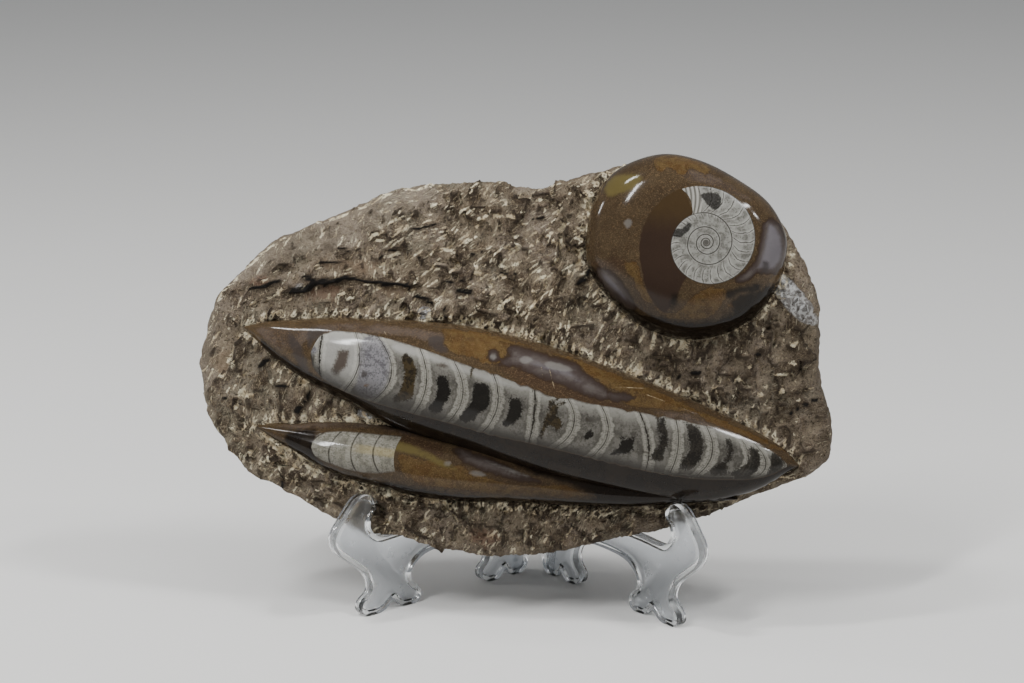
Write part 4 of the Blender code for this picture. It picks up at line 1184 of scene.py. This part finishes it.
def carve(u, v, relief, bruise_and_highlight, chance):
    """Cut the chisel strokes, punches and cracks into the relief; return how deep in a crack it lies."""
    shadow = np.zeros(len(u))
    order = np.argsort(u)
    sorted_u = u[order]

    def near(at_u, at_v, reach):
        band = order[np.searchsorted(sorted_u, at_u - reach):np.searchsorted(sorted_u, at_u + reach)]
        return band[np.abs(v[band] - at_v) < reach]

    punches, rim_strokes = punch_marks(chance)
    for at_u, at_v, angle, length, width, depth, white in chisel_marks(chance) + rim_strokes:
        spot = near(at_u, at_v, length / 2 + 2.5)
        du, dv = u[spot] - at_u, v[spot] - at_v
        along = du * cos(angle) + dv * sin(angle)
        across = dv * cos(angle) - du * sin(angle) + 0.18 * np.sin(along * 1.7 + at_u)
        inside = np.clip(1 - (2 * along / length) ** 2, 0, 1)
        groove = np.sqrt(inside) * np.exp(-(across / (0.55 * width)) ** 2)
        scar = inside * np.exp(-np.abs(across) / 1.3) * (across < 0)
        relief[spot] -= depth * (0.8 * groove + 0.9 * scar)
        core = np.sqrt(inside) * np.exp(-(across / (0.36 * width)) ** 2)
        bruise_and_highlight[spot] = np.maximum(bruise_and_highlight[spot], white * core)
    for at_u, at_v, size, depth in punches:
        spot = near(at_u, at_v, 3.0)
        distance = np.hypot(u[spot] - at_u, v[spot] - at_v)
        relief[spot] -= (0.5 + depth) * np.exp(-(distance / size) ** 2)
        ring = np.exp(-((distance - 1.8 * size) / (0.7 * size)) ** 2)
        bruise_and_highlight[spot] = np.maximum(bruise_and_highlight[spot], ring) * (1 - np.exp(-(distance / size) ** 2))
    for line, half_width, depth in CRACKS:
        line = np.array(line, float)
        for begin, end in zip(line, line[1:]):
            middle, reach = (begin + end) / 2, np.hypot(*(end - begin)) / 2 + 3 * half_width
            spot = near(*middle, reach)
            distance = distance_to_line([begin, end], u[spot], v[spot])
            wander = np.sin(0.9 * u[spot] + 2 * np.sin(0.5 * u[spot]))
            wander += 0.7 * np.sin(3.1 * u[spot] + 2 * v[spot])
            wander = np.maximum(half_width * (1.2 + 0.4 * wander), 0.4)
            cut = depth * np.exp(-(distance / wander) ** 2)
            relief[spot] = np.minimum(relief[spot], relief[spot] * 0.3 - cut)
            bruise_and_highlight[spot] *= np.clip(1 - cut / depth, 0, 1)
            shadow[spot] = np.maximum(shadow[spot], np.exp(-(distance / wander) ** 4))
    return shadow


def facets(u, v, chance):
    """Broken stone: small planes that each lean their own way."""
    total = np.zeros(u.shape)
    for size, lean, step in ((9.0, 0.17, 0.45), (4.2, 0.26, 0.36), (1.9, 0.24, 0.14)):
        count = int(FACET_AREA / size ** 2)
        places = np.stack([chance.uniform(-120, 120, count), chance.uniform(-82, 72, count)], axis=1)
        leans, steps = chance.normal(0, lean, (count, 2)), chance.normal(0, step, count)
        tree = KDTree(count)
        for index, (x, y) in enumerate(places):
            tree.insert((x, y, 0), index)
        tree.balance()
        nearest = np.array([tree.find((x, y, 0))[1] for x, y in zip(u, v)])
        offset = np.stack([u, v], axis=1) - places[nearest]
        total += steps[nearest] + (leans[nearest] * offset).sum(axis=1)
    return total


def local_mean(u, v, heights, cell):
    """The height of the ground around each place, averaged over five cells each way."""
    column, row = ((u + 130) / cell).astype(int), ((v + 95) / cell).astype(int)
    sums = np.zeros((2, int(265 / cell), int(190 / cell)))
    np.add.at(sums[0], (column, row), heights)
    np.add.at(sums[1], (column, row), 1)
    for axis in (1, 2):
        sums = sum(np.roll(sums, step, axis) for step in (-2, -1, 0, 1, 2))
    return sums[0, column, row] / sums[1, column, row]


def rock_mesh():
    """The slab's mesh: a flat grid thickened, with its walls and its open ground refined."""
    rock = start_grid("rock", round(SLAB_WIDTH / ROCK_CELL), round(SLAB_HEIGHT / ROCK_CELL))
    edit(rock, "FACE")
    bpy.ops.mesh.select_all(action="SELECT")
    bpy.ops.mesh.extrude_region_move(TRANSFORM_OT_translate={"value": (0, 0, -1)})
    choose(rock, "EDGE", lambda edge: abs(edge.verts[0].co.z - edge.verts[1].co.z) > 0.5)
    bpy.ops.mesh.select_mode(type="EDGE")
    bpy.ops.mesh.subdivide(number_cuts=WALL_CUTS)

    def open_ground(face):
        middle = face.calc_center_median()
        if face.normal.z < 0.5 or middle.z < -0.001:
            return False
        du, dv, _ = SLAB.from_square(middle.x, middle.y)
        return depths_inside(SLAB_MIDDLE[0] + du, SLAB_MIDDLE[1] + dv).max() < 1.2

    bpy.ops.mesh.select_mode(type="FACE")
    choose(rock, "FACE", open_ground)
    bpy.ops.mesh.subdivide(number_cuts=FRONT_CUTS, ngon=False)
    leave_edit()
    return rock


class Ground:
    """Where each point of the rock's mesh lies: on the face, how far back and how far out."""

    def __init__(self, rock):
        square = read_points(rock)
        self.back = -square[:, 2]
        self.is_front, self.is_back = self.back < 1e-4, self.back > 1 - 1e-4
        self.front, self.rear = np.flatnonzero(self.is_front), np.flatnonzero(self.is_back)
        du, dv, self.share = SLAB.from_square(square[:, 0], square[:, 1])
        profile = np.array(WALL_PROFILE).T
        size = np.interp(self.back, *profile[:2])
        self.u, self.v = SLAB_MIDDLE[0] + du * size, SLAB_MIDDLE[1] + dv * size
        front_rise = np.interp(self.share * size, *np.array(FRONT_PROFILE).T)
        rear_rise = (SLAB_THICKNESS + WALL_PROFILE[-1][2]) * smoothstep(0.9, 1, self.share) - SLAB_THICKNESS
        level = np.select([self.is_front, self.is_back], [front_rise, rear_rise],
                          np.interp(self.back, *profile[::2]))
        waves = 1.3 * rough(self.u, self.v, 13, 1.5) + 0.78 * rough(self.u, self.v, 6, 4.5)
        level += np.where(self.is_front, np.minimum(waves, 1.5), 0.6 * waves)
        write_points(rock, on_face(self.u, self.v, level) * MM)


def carve_rock(rock, ground):
    """Break and chisel the rock; return the front's relief, how bruised each point is, and its shadow."""
    chance = np.random.default_rng(7)
    u, v, share = ground.u, ground.v, ground.share
    front, rear = ground.front, ground.rear
    relief, bruise_and_highlight, shadow = np.zeros((3, len(u)))
    front_relief, front_bruise = facets(u[front], v[front], chance), np.zeros(len(front))
    smooth_skin = np.clip(patch_field(ROCK_PATCHES["skin"], u[front], v[front]) * 2 + 0.5, 0, 1)
    front_relief *= (1 - 0.6 * smooth_skin) * (1 - 0.5 * smoothstep(0.955, 0.985, share[front]))
    shadow[front] = carve(u[front], v[front], front_relief, front_bruise, chance)
    relief[front] = front_relief
    bruise_and_highlight[front] = front_bruise * (1 - 0.4 * smooth_skin)
    split = np.clip(0.7 * facets(u[rear], v[rear], chance), -0.6, 0.6)
    relief[rear] = split * smoothstep(0.97, 0.85, share[rear])
    points = read_points(rock) / MM
    relief += np.where(ground.is_front, 0.28, 0.75) * rugged(points, 5.0, 5, 3.3)
    lip = np.where(ground.is_front, smoothstep(0.962, 0.995, share), smoothstep(0.3, 0.0, ground.back))
    relief -= 1.7 * lip * np.maximum(rugged(points, 7.0, 3, 9.1), 0)
    points += read(rock, "vertex_normals", "vector") * relief[:, None]
    low = points @ FACE_AXES[1] - FACE_ORIGIN @ FACE_AXES[1] < SEAT_TOP + 1
    points[low, 2] = np.maximum(points[low, 2], seat_level(points[low]))
    write_points(rock, points * MM)
    face_outwards(rock)
    return front_relief, bruise_and_highlight, shadow


def paint_rock(rock, ground, front_relief, bruise_and_highlight, shadow):
    """Keep on the rock what its finish needs to know about each point."""
    u, v, share, back, is_front = ground.u, ground.v, ground.share, ground.back, ground.is_front
    stands_out, lies_high = np.zeros((2, len(u)))
    nearby = local_mean(u[ground.front], v[ground.front], front_relief, 0.8)
    stands_out[ground.front] = front_relief - nearby
    lies_high[ground.front] = nearby - local_mean(u[ground.front], v[ground.front], front_relief, 2.4)
    around = np.unwrap(np.arctan2(v - BOSS_MIDDLE[1], u - BOSS_MIDDLE[0])) % tau
    depths = depths_inside(u, v)
    nearest, near_rim = depths.argmax(axis=0), depths.max(axis=0)
    (big_a, big_b), (small_a, small_b) = BIG.own(u, v), SMALL.own(u, v)
    punched = [np.where(big_b > 0, 0.95, 0.2), np.where(small_b > -3, 0.7, 0.45),
               np.where((around > radians(130)) & (around < radians(200)), 0.7, 0.3)]
    crest = np.where(is_front, smoothstep(0.978, 0.995, share), smoothstep(0.05, 0.0, back))
    upper_left = smoothstep(-30, 20, v) * (0.4 + 0.6 * smoothstep(0, -50, u)) * smoothstep(108, 85, u)
    broken = np.clip(0.72 + 1.1 * rough(u, v, 5, 5.5) + 1.3 * rough(u, v, 1.7, 6.5), 0.1, 1)
    # Chalky bruises, painted highlight on points that stand out above their surroundings, a pale line at
    # the foot of the polished pieces, and a pale chipped line along the outer edge, stronger and broken
    # along the upper left.
    bruise_and_highlight = np.maximum.reduce([
        bruise_and_highlight, np.clip(1.15 * stands_out - 0.45, 0, 0.65) * is_front,
        0.65 * np.exp(-(np.minimum(near_rim, 0) / 0.5) ** 2) * is_front,
        (0.15 + 0.75 * upper_left * broken) * crest])
    worked = np.maximum(smoothstep(-75, -35, u) * smoothstep(-40, 0, v), smoothstep(-38, -46, v))
    worked = (0.6 + 0.4 * worked) * (1 - 0.8 * smoothstep(35, 65, u))
    # Painted shade: darker to the lower right, at the far left and along the bottom, and darkest as painted
    # shadow in the cracks.
    painted_shade = 0.34 * smoothstep(20, 75, u) * smoothstep(30, 5, v) + 0.12 * smoothstep(-60, -85, u)
    painted_shade += 0.24 * smoothstep(-40, -60, v) * smoothstep(-55, -30, u)
    # Painted shade where the ground lies low and painted highlight where it lies high.
    paint(rock, "sunk", np.clip(-1.6 * lies_high, -1, 1))
    paint(rock, "way", np.choose(nearest, [big_a, small_a, around * BOSS_RADIUS]))
    paint(rock, "beside", np.clip(-near_rim, -3, 9))
    paint(rock, "punched", np.choose(nearest, punched) * is_front)
    paint(rock, "worked", np.where(is_front, worked, 0.45 * smoothstep(0.9, 0.5, back)))
    paint(rock, "painted_shade", np.maximum(painted_shade, 0.85 * shadow))
    paint(rock, "bruise_and_highlight", bruise_and_highlight)
    # Painted shade in the crevices, where the ground lies below its close surroundings.
    paint(rock, "hollow", np.clip(-1.5 * stands_out - 0.35, -1, 1) * is_front)
    paint(rock, "slant", chisel_direction(u, v)[0] + 22 * rough(u, v, 9, 2.2))
    for name, patches in ROCK_PATCHES.items():
        paint(rock, name, np.where(ground.is_back, -1, patch_field(patches, u, v)))


def make_rock(material):
    rock = rock_mesh()
    ground = Ground(rock)
    front_relief, bruise_and_highlight, shadow = carve_rock(rock, ground)
    paint_rock(rock, ground, front_relief, bruise_and_highlight, shadow)
    finish_piece(rock, material, "limestone_slab", 50)


# =====================================================================  polished ridges and boss

def close_below(piece, foot):
    """Extrude the open border of a sheet lying on the face down to a level, and close it."""
    edit(piece, "EDGE")
    bpy.ops.mesh.select_non_manifold()
    bpy.ops.mesh.extrude_region_move()
    mesh = bmesh.from_edit_mesh(piece.data)
    for vertex in mesh.verts:
        if vertex.select:
            vertex.co.z = foot
    bmesh.update_edit_mesh(piece.data)
    bpy.ops.mesh.edge_face_add()
    leave_edit()


def stand_on_face(piece):
    """Move a piece laid out flat, in millimetres, onto the slab's face."""
    write_points(piece, on_face(*read_points(piece).T) * MM)
    face_outwards(piece)


def paint_patches(piece, tables, x, y, names):
    """How far inside its patches each point is, for every name; far outside where there are none."""
    for name in names:
        paint(piece, name, patch_field(tables.get(name, []), x, y))


def make_ridge(name, ridge, patches, columns, rows, material):
    """A polished ridge, from a grid laid along it."""
    piece = start_grid(name, columns, rows)
    square = read_points(piece)
    t = (square[:, 0] + 1) / 2
    a = ridge.last * (0.45 * t + 0.55 * (0.5 - 0.5 * np.cos(pi * t)))
    upper, lower = ridge.rims(a)
    b = 0.5 * (upper + lower) + 0.5 * (upper - lower) * np.sin(square[:, 1] * pi / 2)
    u, v = ridge.place(a, b)
    write_points(piece, np.stack([u, v, ridge.height(a, b)], axis=1))
    close_below(piece, RIDGE_FOOT)
    flat = read_points(piece)
    a, b = ridge.own(flat[:, 0], flat[:, 1])
    upper, lower = ridge.rims(a)
    paint_patches(piece, patches, a, b, LAYERS)
    rim = np.minimum(upper - b, 2 * (b - lower)) + np.maximum(flat[:, 2], 0) * 0.9
    paint(piece, "rim", np.where(flat[:, 2] < RIDGE_FOOT + 0.01, FOOT_RIM, rim))
    paint(piece, "body", np.full(len(flat), -1.0))
    # Painted shade: the large ridge darker towards its right end; the small ridge shaded all over but least
    # along its upper side, and more towards its right end and its lower side.
    if ridge is BIG:
        deep = 0.26 * smoothstep(105, 150, a)
    else:
        share = (b - lower) / (upper - lower + 0.01)
        deep = 0.3 - 0.25 * smoothstep(0.7, 0.9, share) + 0.3 * smoothstep(70, 130, a)
        deep += 0.45 * smoothstep(0.3, 0, share)
    paint(piece, "deep", np.clip(deep, 0, 0.88))
    stand_on_face(piece)
    finish_piece(piece, material, "limestone_slab", 40)


def make_boss(material):
    """The polished boss, from a grid bunched up towards its outline."""
    piece = start_grid("boss", 110, 110)
    square = read_points(piece)
    du, dv, share = BOSS.from_square(square[:, 0], square[:, 1])
    closer = np.where(share > 0, (1 - (1 - share) ** 1.7) / np.maximum(share, 1e-6), 1.7)
    u, v = BOSS_MIDDLE[0] + du * closer, BOSS_MIDDLE[1] + dv * closer
    write_points(piece, np.stack([u, v, boss_height(u, v)], axis=1))
    close_below(piece, BOSS_FOOT)
    flat = read_points(piece)
    u, v = flat[:, 0], flat[:, 1]
    paint_patches(piece, BOSS_PATCHES, u, v, LAYERS)
    for point in piece.data.attributes["lilac"].data:
        point.value *= 2.1 if point.value > 0 else 1
    rim = boss_depth_inside(u, v) + 1.2 * np.maximum(flat[:, 2], 0)
    paint(piece, "rim", np.where(flat[:, 2] < BOSS_FOOT + 0.01, FOOT_RIM, rim))
    turn = np.arctan2(u - COIL_MIDDLE[0], v - COIL_MIDDLE[1])
    reach = COIL_RADIUS * COIL_GROWTH ** (-turn / tau)
    reach += 2.6 * smoothstep(radians(-110), radians(-145), turn)
    inside = (reach - np.hypot(u - COIL_MIDDLE[0], v - COIL_MIDDLE[1])) / 6
    ends = np.minimum((turn - radians(-152)) * 3, (radians(-24) - turn) * 3)
    paint(piece, "body", np.clip(np.minimum(inside, ends), -1, 1))
    # Painted shade, darker towards the bottom and the left of the boss.
    paint(piece, "deep", 0.05 + 0.4 * smoothstep(32, 8, v) + 0.12 * smoothstep(60, 38, u))
    stand_on_face(piece)
    finish_piece(piece, material, "limestone_slab", 40)


# =====================================================================  fossils

def make_shell(name, node, ridge, table, septa, cracked, patches, columns, material):
    """A tapered shell, from a cylinder: the upper part of each ring follows the polished ridge."""
    top, under = 60, 20
    ring_size = top + under
    piece = start(name, bpy.ops.mesh.primitive_cylinder_add, vertices=ring_size, radius=1, depth=2)
    edit(piece, "EDGE")
    choose(piece, "EDGE", lambda edge: abs(edge.verts[0].co.z - edge.verts[1].co.z) > 1)
    bpy.ops.mesh.subdivide(number_cuts=columns)
    leave_edit()
    points = read_points(piece)
    t = (points[:, 2] + 1) / 2
    step = np.round(np.arctan2(points[:, 1], points[:, 0]) / tau * ring_size).astype(int) % ring_size
    first, last = table[0][0], table[-1][0]
    a = first + (last - first) * (0.4 * t + 0.6 * (0.5 - 0.5 * np.cos(pi * t)))
    upper, lower = interpolate(table, a, 1), interpolate(table, a, 2)
    if ridge is BIG:
        ragged = smoothstep(85, 98, a) * smoothstep(175, 158, a)
        upper = upper + ragged * (np.abs(np.sin(a * 0.93 + 1.3 * np.sin(a * 0.37))) - 0.5)
        lower = lower + 0.25 * ragged * np.sin(a * 1.3)
    middle, half = 0.5 * (upper + lower), 0.5 * (upper - lower)
    on_top = step <= top
    b = middle + half * np.where(on_top, 1 - 2 * step / top, -np.cos(pi * (step - top) / under))
    if ridge is SMALL:
        a = a - end_bow(a, b, table)
    wall = np.minimum(ridge.height(a, upper), ridge.height(a, lower)) - SHELL_WALL
    depth = 2 * half * SHELL_DEPTH * np.sin(pi * np.clip((step - top) / under, 0, 1))
    level = np.where(on_top, ridge.height(a, b) + INLAY, wall - depth)
    u, v = ridge.place(a, b)
    write_points(piece, np.stack([u, v, level], axis=1))
    walls = np.array([np.polyval(np.polyfit(*np.array(septum).T[::-1], 2), b) for septum in septa])
    walls = np.vstack([walls[0] - 12, walls, walls[-1] + 12])
    chamber = np.clip((a > walls).sum(axis=0), 1, len(walls) - 1)
    each = np.arange(len(a))
    before, after = walls[chamber - 1, each], walls[chamber, each]
    paint(piece, "along", a)
    paint(piece, "across", b)
    paint(piece, "level", np.where(on_top, (b - lower) / (upper - lower), 0))
    paint(piece, "chamber", chamber + np.clip((a - before) / (after - before), 0, 1))
    paint(piece, "spacing", after - before)
    if cracked:
        paint(piece, "cracked", np.abs(a - walls[[k + 1 for k in cracked]]).min(axis=0) < 3.5)
        lines = np.minimum.reduce([distance_to_line(line, a, b) for line in SHELL_LINES])
        paint(piece, "lines", np.minimum(lines, 3))
    paint(piece, "rim", np.minimum(upper - b, b - lower))
    paint_patches(piece, patches, a, b, SHELL_PATCHES)
    stand_on_face(piece)
    finish_piece(piece, material, node, 40)


def end_bow(a, b, table):
    """The hollow right end of the small shell, where it broke at a chamber wall."""
    last = table[-1][0]
    middle = 0.5 * (table[-1][1] + table[-1][2])
    bowed = 1.6 * np.clip(1 - ((b - middle) / 7) ** 2, 0, 1)
    return bowed * smoothstep(last - 12, last, a)


def make_coil(material):
    """The coiled shell: a square grid relaxed into the outline of one turn of a growing spiral."""
    count = 120
    piece = start_grid("coiled_shell", count, count)
    turns = np.linspace(0, tau, 721)
    angles = MOUTH_ANGLE + turns
    radii = COIL_RADIUS * COIL_GROWTH ** (-angles / tau)
    spiral = np.stack([np.sin(angles), np.cos(angles)], axis=1) * radii[:, None]
    t = np.linspace(0, 1, 61)[1:]
    mouth_radii = radii[-1] + (radii[0] - radii[-1]) * t
    mouth_angles = MOUTH_ANGLE + radians(4.5) * np.sin(pi * t)
    mouth = np.stack([np.sin(mouth_angles), np.cos(mouth_angles)], axis=1) * mouth_radii[:, None]
    closed = np.vstack([spiral, mouth[:-1], spiral[:1]])
    lengths = np.concatenate([[0], np.cumsum(np.hypot(*np.diff(closed, axis=0).T))])

    def on_outline(share):
        return np.stack([np.interp(share % 1, lengths / lengths[-1], axis) for axis in closed.T], axis=-1)

    side = np.arange(count) / count
    grid = np.zeros((count + 1, count + 1, 2))
    grid[:-1, -1] = on_outline(side / 4)                 # along the top, clockwise from the mouth
    grid[-1, :0:-1] = on_outline((1 + side) / 4)
    grid[:0:-1, 0] = on_outline((2 + side) / 4)
    grid[0, :-1] = on_outline((3 + side) / 4)
    for _ in range(COIL_ROUNDS):
        grid[1:-1, 1:-1] = 0.25 * (grid[2:, 1:-1] + grid[:-2, 1:-1] + grid[1:-1, 2:] + grid[1:-1, :-2])
    square = read_points(piece)
    column = np.round((square[:, 0] + 1) / 2 * count).astype(int)
    row = np.round((square[:, 1] + 1) / 2 * count).astype(int)
    place = grid[column, row] + np.array(COIL_MIDDLE)
    u, v = place.T
    write_points(piece, np.stack([u, v, boss_height(u, v) + INLAY], axis=1))
    close_below(piece, BOSS_HEIGHT - COIL_DEPTH)
    flat = read_points(piece)
    paint_patches(piece, COIL_PATCHES, flat[:, 0], flat[:, 1], ["black"])
    stand_on_face(piece)
    finish_piece(piece, material, "goniatite", 40)


# =====================================================================  easel

def make_plate(name):
    """One flat half of the easel with its raised rim, from a circle drawn out to the outline."""
    outline = smooth_closed(PLATE_OUTLINE, 4)
    outline[:, 1] = np.maximum(outline[:, 1], 0)
    held = (outline[:, 1] > 31) & (outline[:, 0] < 60)          # where it lies against the slab's back
    outline[held, 0] = np.minimum(outline[held, 0], UPRIGHT_FOOT - UPRIGHT_SLOPE * outline[held, 1])
    count = len(outline)
    plate = start(name, bpy.ops.mesh.primitive_circle_add, vertices=count, radius=1, fill_type="NGON")
    write_points(plate, np.insert(outline, 1, -RIM_THICKNESS / 2, axis=1))
    edit(plate, "FACE")
    bpy.ops.mesh.select_all(action="SELECT")
    bpy.ops.mesh.extrude_region_move(TRANSFORM_OT_translate={"value": (0, RIM_THICKNESS, 0)})
    bpy.ops.mesh.select_all(action="SELECT")
    bpy.ops.mesh.normals_make_consistent(inside=False)
    for side in (-1, 1):
        choose(plate, "FACE", lambda face: len(face.verts) > 4 and face.normal.y * side > 0.9)
        bpy.ops.mesh.inset(thickness=RIM_WIDTH, depth=0)
        bpy.ops.mesh.inset(thickness=WEB_RECESS * 0.4, depth=-WEB_RECESS)
    leave_edit()
    return plate


def join_solid(piece, other, operation):
    """Add the other piece to this one, or cut it away."""
    apply_modifier(piece, "BOOLEAN", operation=operation, object=other, solver="EXACT")
    bpy.data.objects.remove(other)


def add_knuckle(plate, bottom, top):
    """The block and barrel that carry the hinge pin, between two levels."""
    block = start("block", bpy.ops.mesh.primitive_cube_add, size=1, location=(3.5, 0, (bottom + top) / 2),
                  scale=(7, RIM_THICKNESS, top - bottom))
    join_solid(plate, block, "UNION")
    barrel = start("barrel", bpy.ops.mesh.primitive_cylinder_add, vertices=48, radius=KNUCKLE_RADIUS,
                   depth=top - bottom, location=(0, 0, (bottom + top) / 2))
    join_solid(plate, barrel, "UNION")


def add_pin(radius, bottom, top):
    return start("pin", bpy.ops.mesh.primitive_cylinder_add, vertices=32, radius=radius, depth=top - bottom,
                 location=(0, 0, (bottom + top) / 2))


def place_half(plate, side, material, node):
    """Round the edges of a half and turn it about the hinge; side is -1 for the left, 1 for the right."""
    apply_modifier(plate, "BEVEL", width=0.35, segments=3, limit_method="ANGLE", angle_limit=radians(35))
    sunk = RIM_THICKNESS / 2 - np.abs(read_points(plate)[:, 1])
    paint(plate, "web", smoothstep(0.2, WEB_RECESS - 0.1, sunk))
    turn = Matrix.Translation(Vector(HINGE)) @ Matrix.Rotation(side * PLATE_ANGLE - pi / 2, 4, "Z")
    plate.data.transform(Matrix.Scale(MM, 4) @ turn)
    finish_piece(plate, material, node, 35)


def make_easel(material):
    low, low_top, mid, mid_top, high, high_top = KNUCKLE_LEVELS
    left = make_plate("easel_left")
    add_knuckle(left, low, low_top)
    add_knuckle(left, high, high_top)
    join_solid(left, add_pin(PIN_RADIUS, low_top - 1, low_top + PIN_REACH), "UNION")
    join_solid(left, add_pin(PIN_RADIUS, high - PIN_REACH, high + 1), "UNION")
    right = make_plate("easel_right")
    add_knuckle(right, mid, mid_top)
    join_solid(right, add_pin(PIN_RADIUS + GAP, mid - 1, mid_top + 1), "DIFFERENCE")
    place_half(left, -1, material, "stand_left")
    place_half(right, 1, material, "stand_right")


# =====================================================================  studio

CAMERA_TARGET = Vector((0.0002, -0.0088, 0.1008))
CAMERA_DISTANCE, CAMERA_AZIMUTH, CAMERA_ELEVATION = 1.0, radians(6), radians(13.5)
CAMERA_LENS = 95.98
MIDDLE = (0, 0, 0.1)
SOFTBOXES = [      # direction, distance, size, power, target
    ((-0.341, -0.557, 0.758), 1.2, (0.05, 0.42), 6.6, (-0.059, -0.019, 0.102)),
    ((-0.41, -0.115, 0.905), 1.2, (0.10, 0.24), 4.6, (-0.085, -0.013, 0.105)),
    ((0.518, -0.194, 0.833), 1.2, (0.26, 0.09), 4.6, (0.083, -0.024, 0.071)),
    ((0.70, -0.26, 0.665), 1.2, (0.09, 0.08), 1.5, MIDDLE),
    ((-0.913, 0.161, 0.375), 1.0, (0.05, 0.16), 1.1, MIDDLE)]
OVERHEAD = ((0.0, -0.25, 1.0), 2.2, (3.2, 2.6), 24, MIDDLE)


def make_camera():
    level = cos(CAMERA_ELEVATION)
    back = Vector((sin(CAMERA_AZIMUTH) * level, -cos(CAMERA_AZIMUTH) * level, sin(CAMERA_ELEVATION)))
    bpy.ops.object.camera_add(location=CAMERA_TARGET + back * CAMERA_DISTANCE,
                              rotation=back.to_track_quat("Z", "Y").to_euler())
    camera = bpy.context.object
    camera.data.lens = CAMERA_LENS
    camera.data.sensor_width = 36
    bpy.context.scene.camera = camera


def add_softbox(direction, distance, size, power, target):
    """A flat lamp that faces its target from a direction; returns the lamp."""
    direction = Vector(direction).normalized()
    bpy.ops.object.light_add(type="AREA", location=Vector(target) + direction * distance,
                             rotation=direction.to_track_quat("Z", "Y").to_euler())
    lamp = bpy.context.object
    lamp.data.shape = "RECTANGLE"
    lamp.data.size, lamp.data.size_y = size
    lamp.data.energy = power
    return lamp


def make_studio():
    floor = start("floor", bpy.ops.mesh.primitive_plane_add, size=12)
    pale = Finish("pale_floor")
    roughness = 0.7 + 0.1 * pale.noise(60, 2)
    floor.data.materials.append(pale.done(Base_Color=rgb("f4f3f0"), Roughness=roughness))
    for softbox in SOFTBOXES:
        add_softbox(*softbox)
    add_softbox(*OVERHEAD).visible_glossy = False    # it only fills, and leaves no glare
    world = bpy.data.worlds.new("studio")
    world.use_nodes = True
    background = world.node_tree.nodes["Background"].inputs
    background["Color"].default_value = rgb("dfe2e6")
    background["Strength"].default_value = 0.28
    bpy.context.scene.world = world


def main():
    polished = polished_stone()
    make_rock(chiselled_stone())
    make_ridge("large_ridge", BIG, BIG_PATCHES, 240, 60, polished)
    make_ridge("small_ridge", SMALL, SMALL_PATCHES, 180, 40, polished)
    make_boss(polished)
    large, small = calcite("shell_calcite", True), calcite("small_shell_calcite", False)
    make_shell("large_shell", "large_orthoceras", BIG, BIG_SHELL, BIG_SEPTA, CRACKED_SEPTA, SHELL_PATCHES,
               360, large)
    make_shell("small_shell", "small_orthoceras", SMALL, SMALL_SHELL, SMALL_SEPTA, (), {}, 100, small)
    make_coil(coil_calcite())
    make_easel(clear_plastic())
    make_camera()
    make_studio()


main()
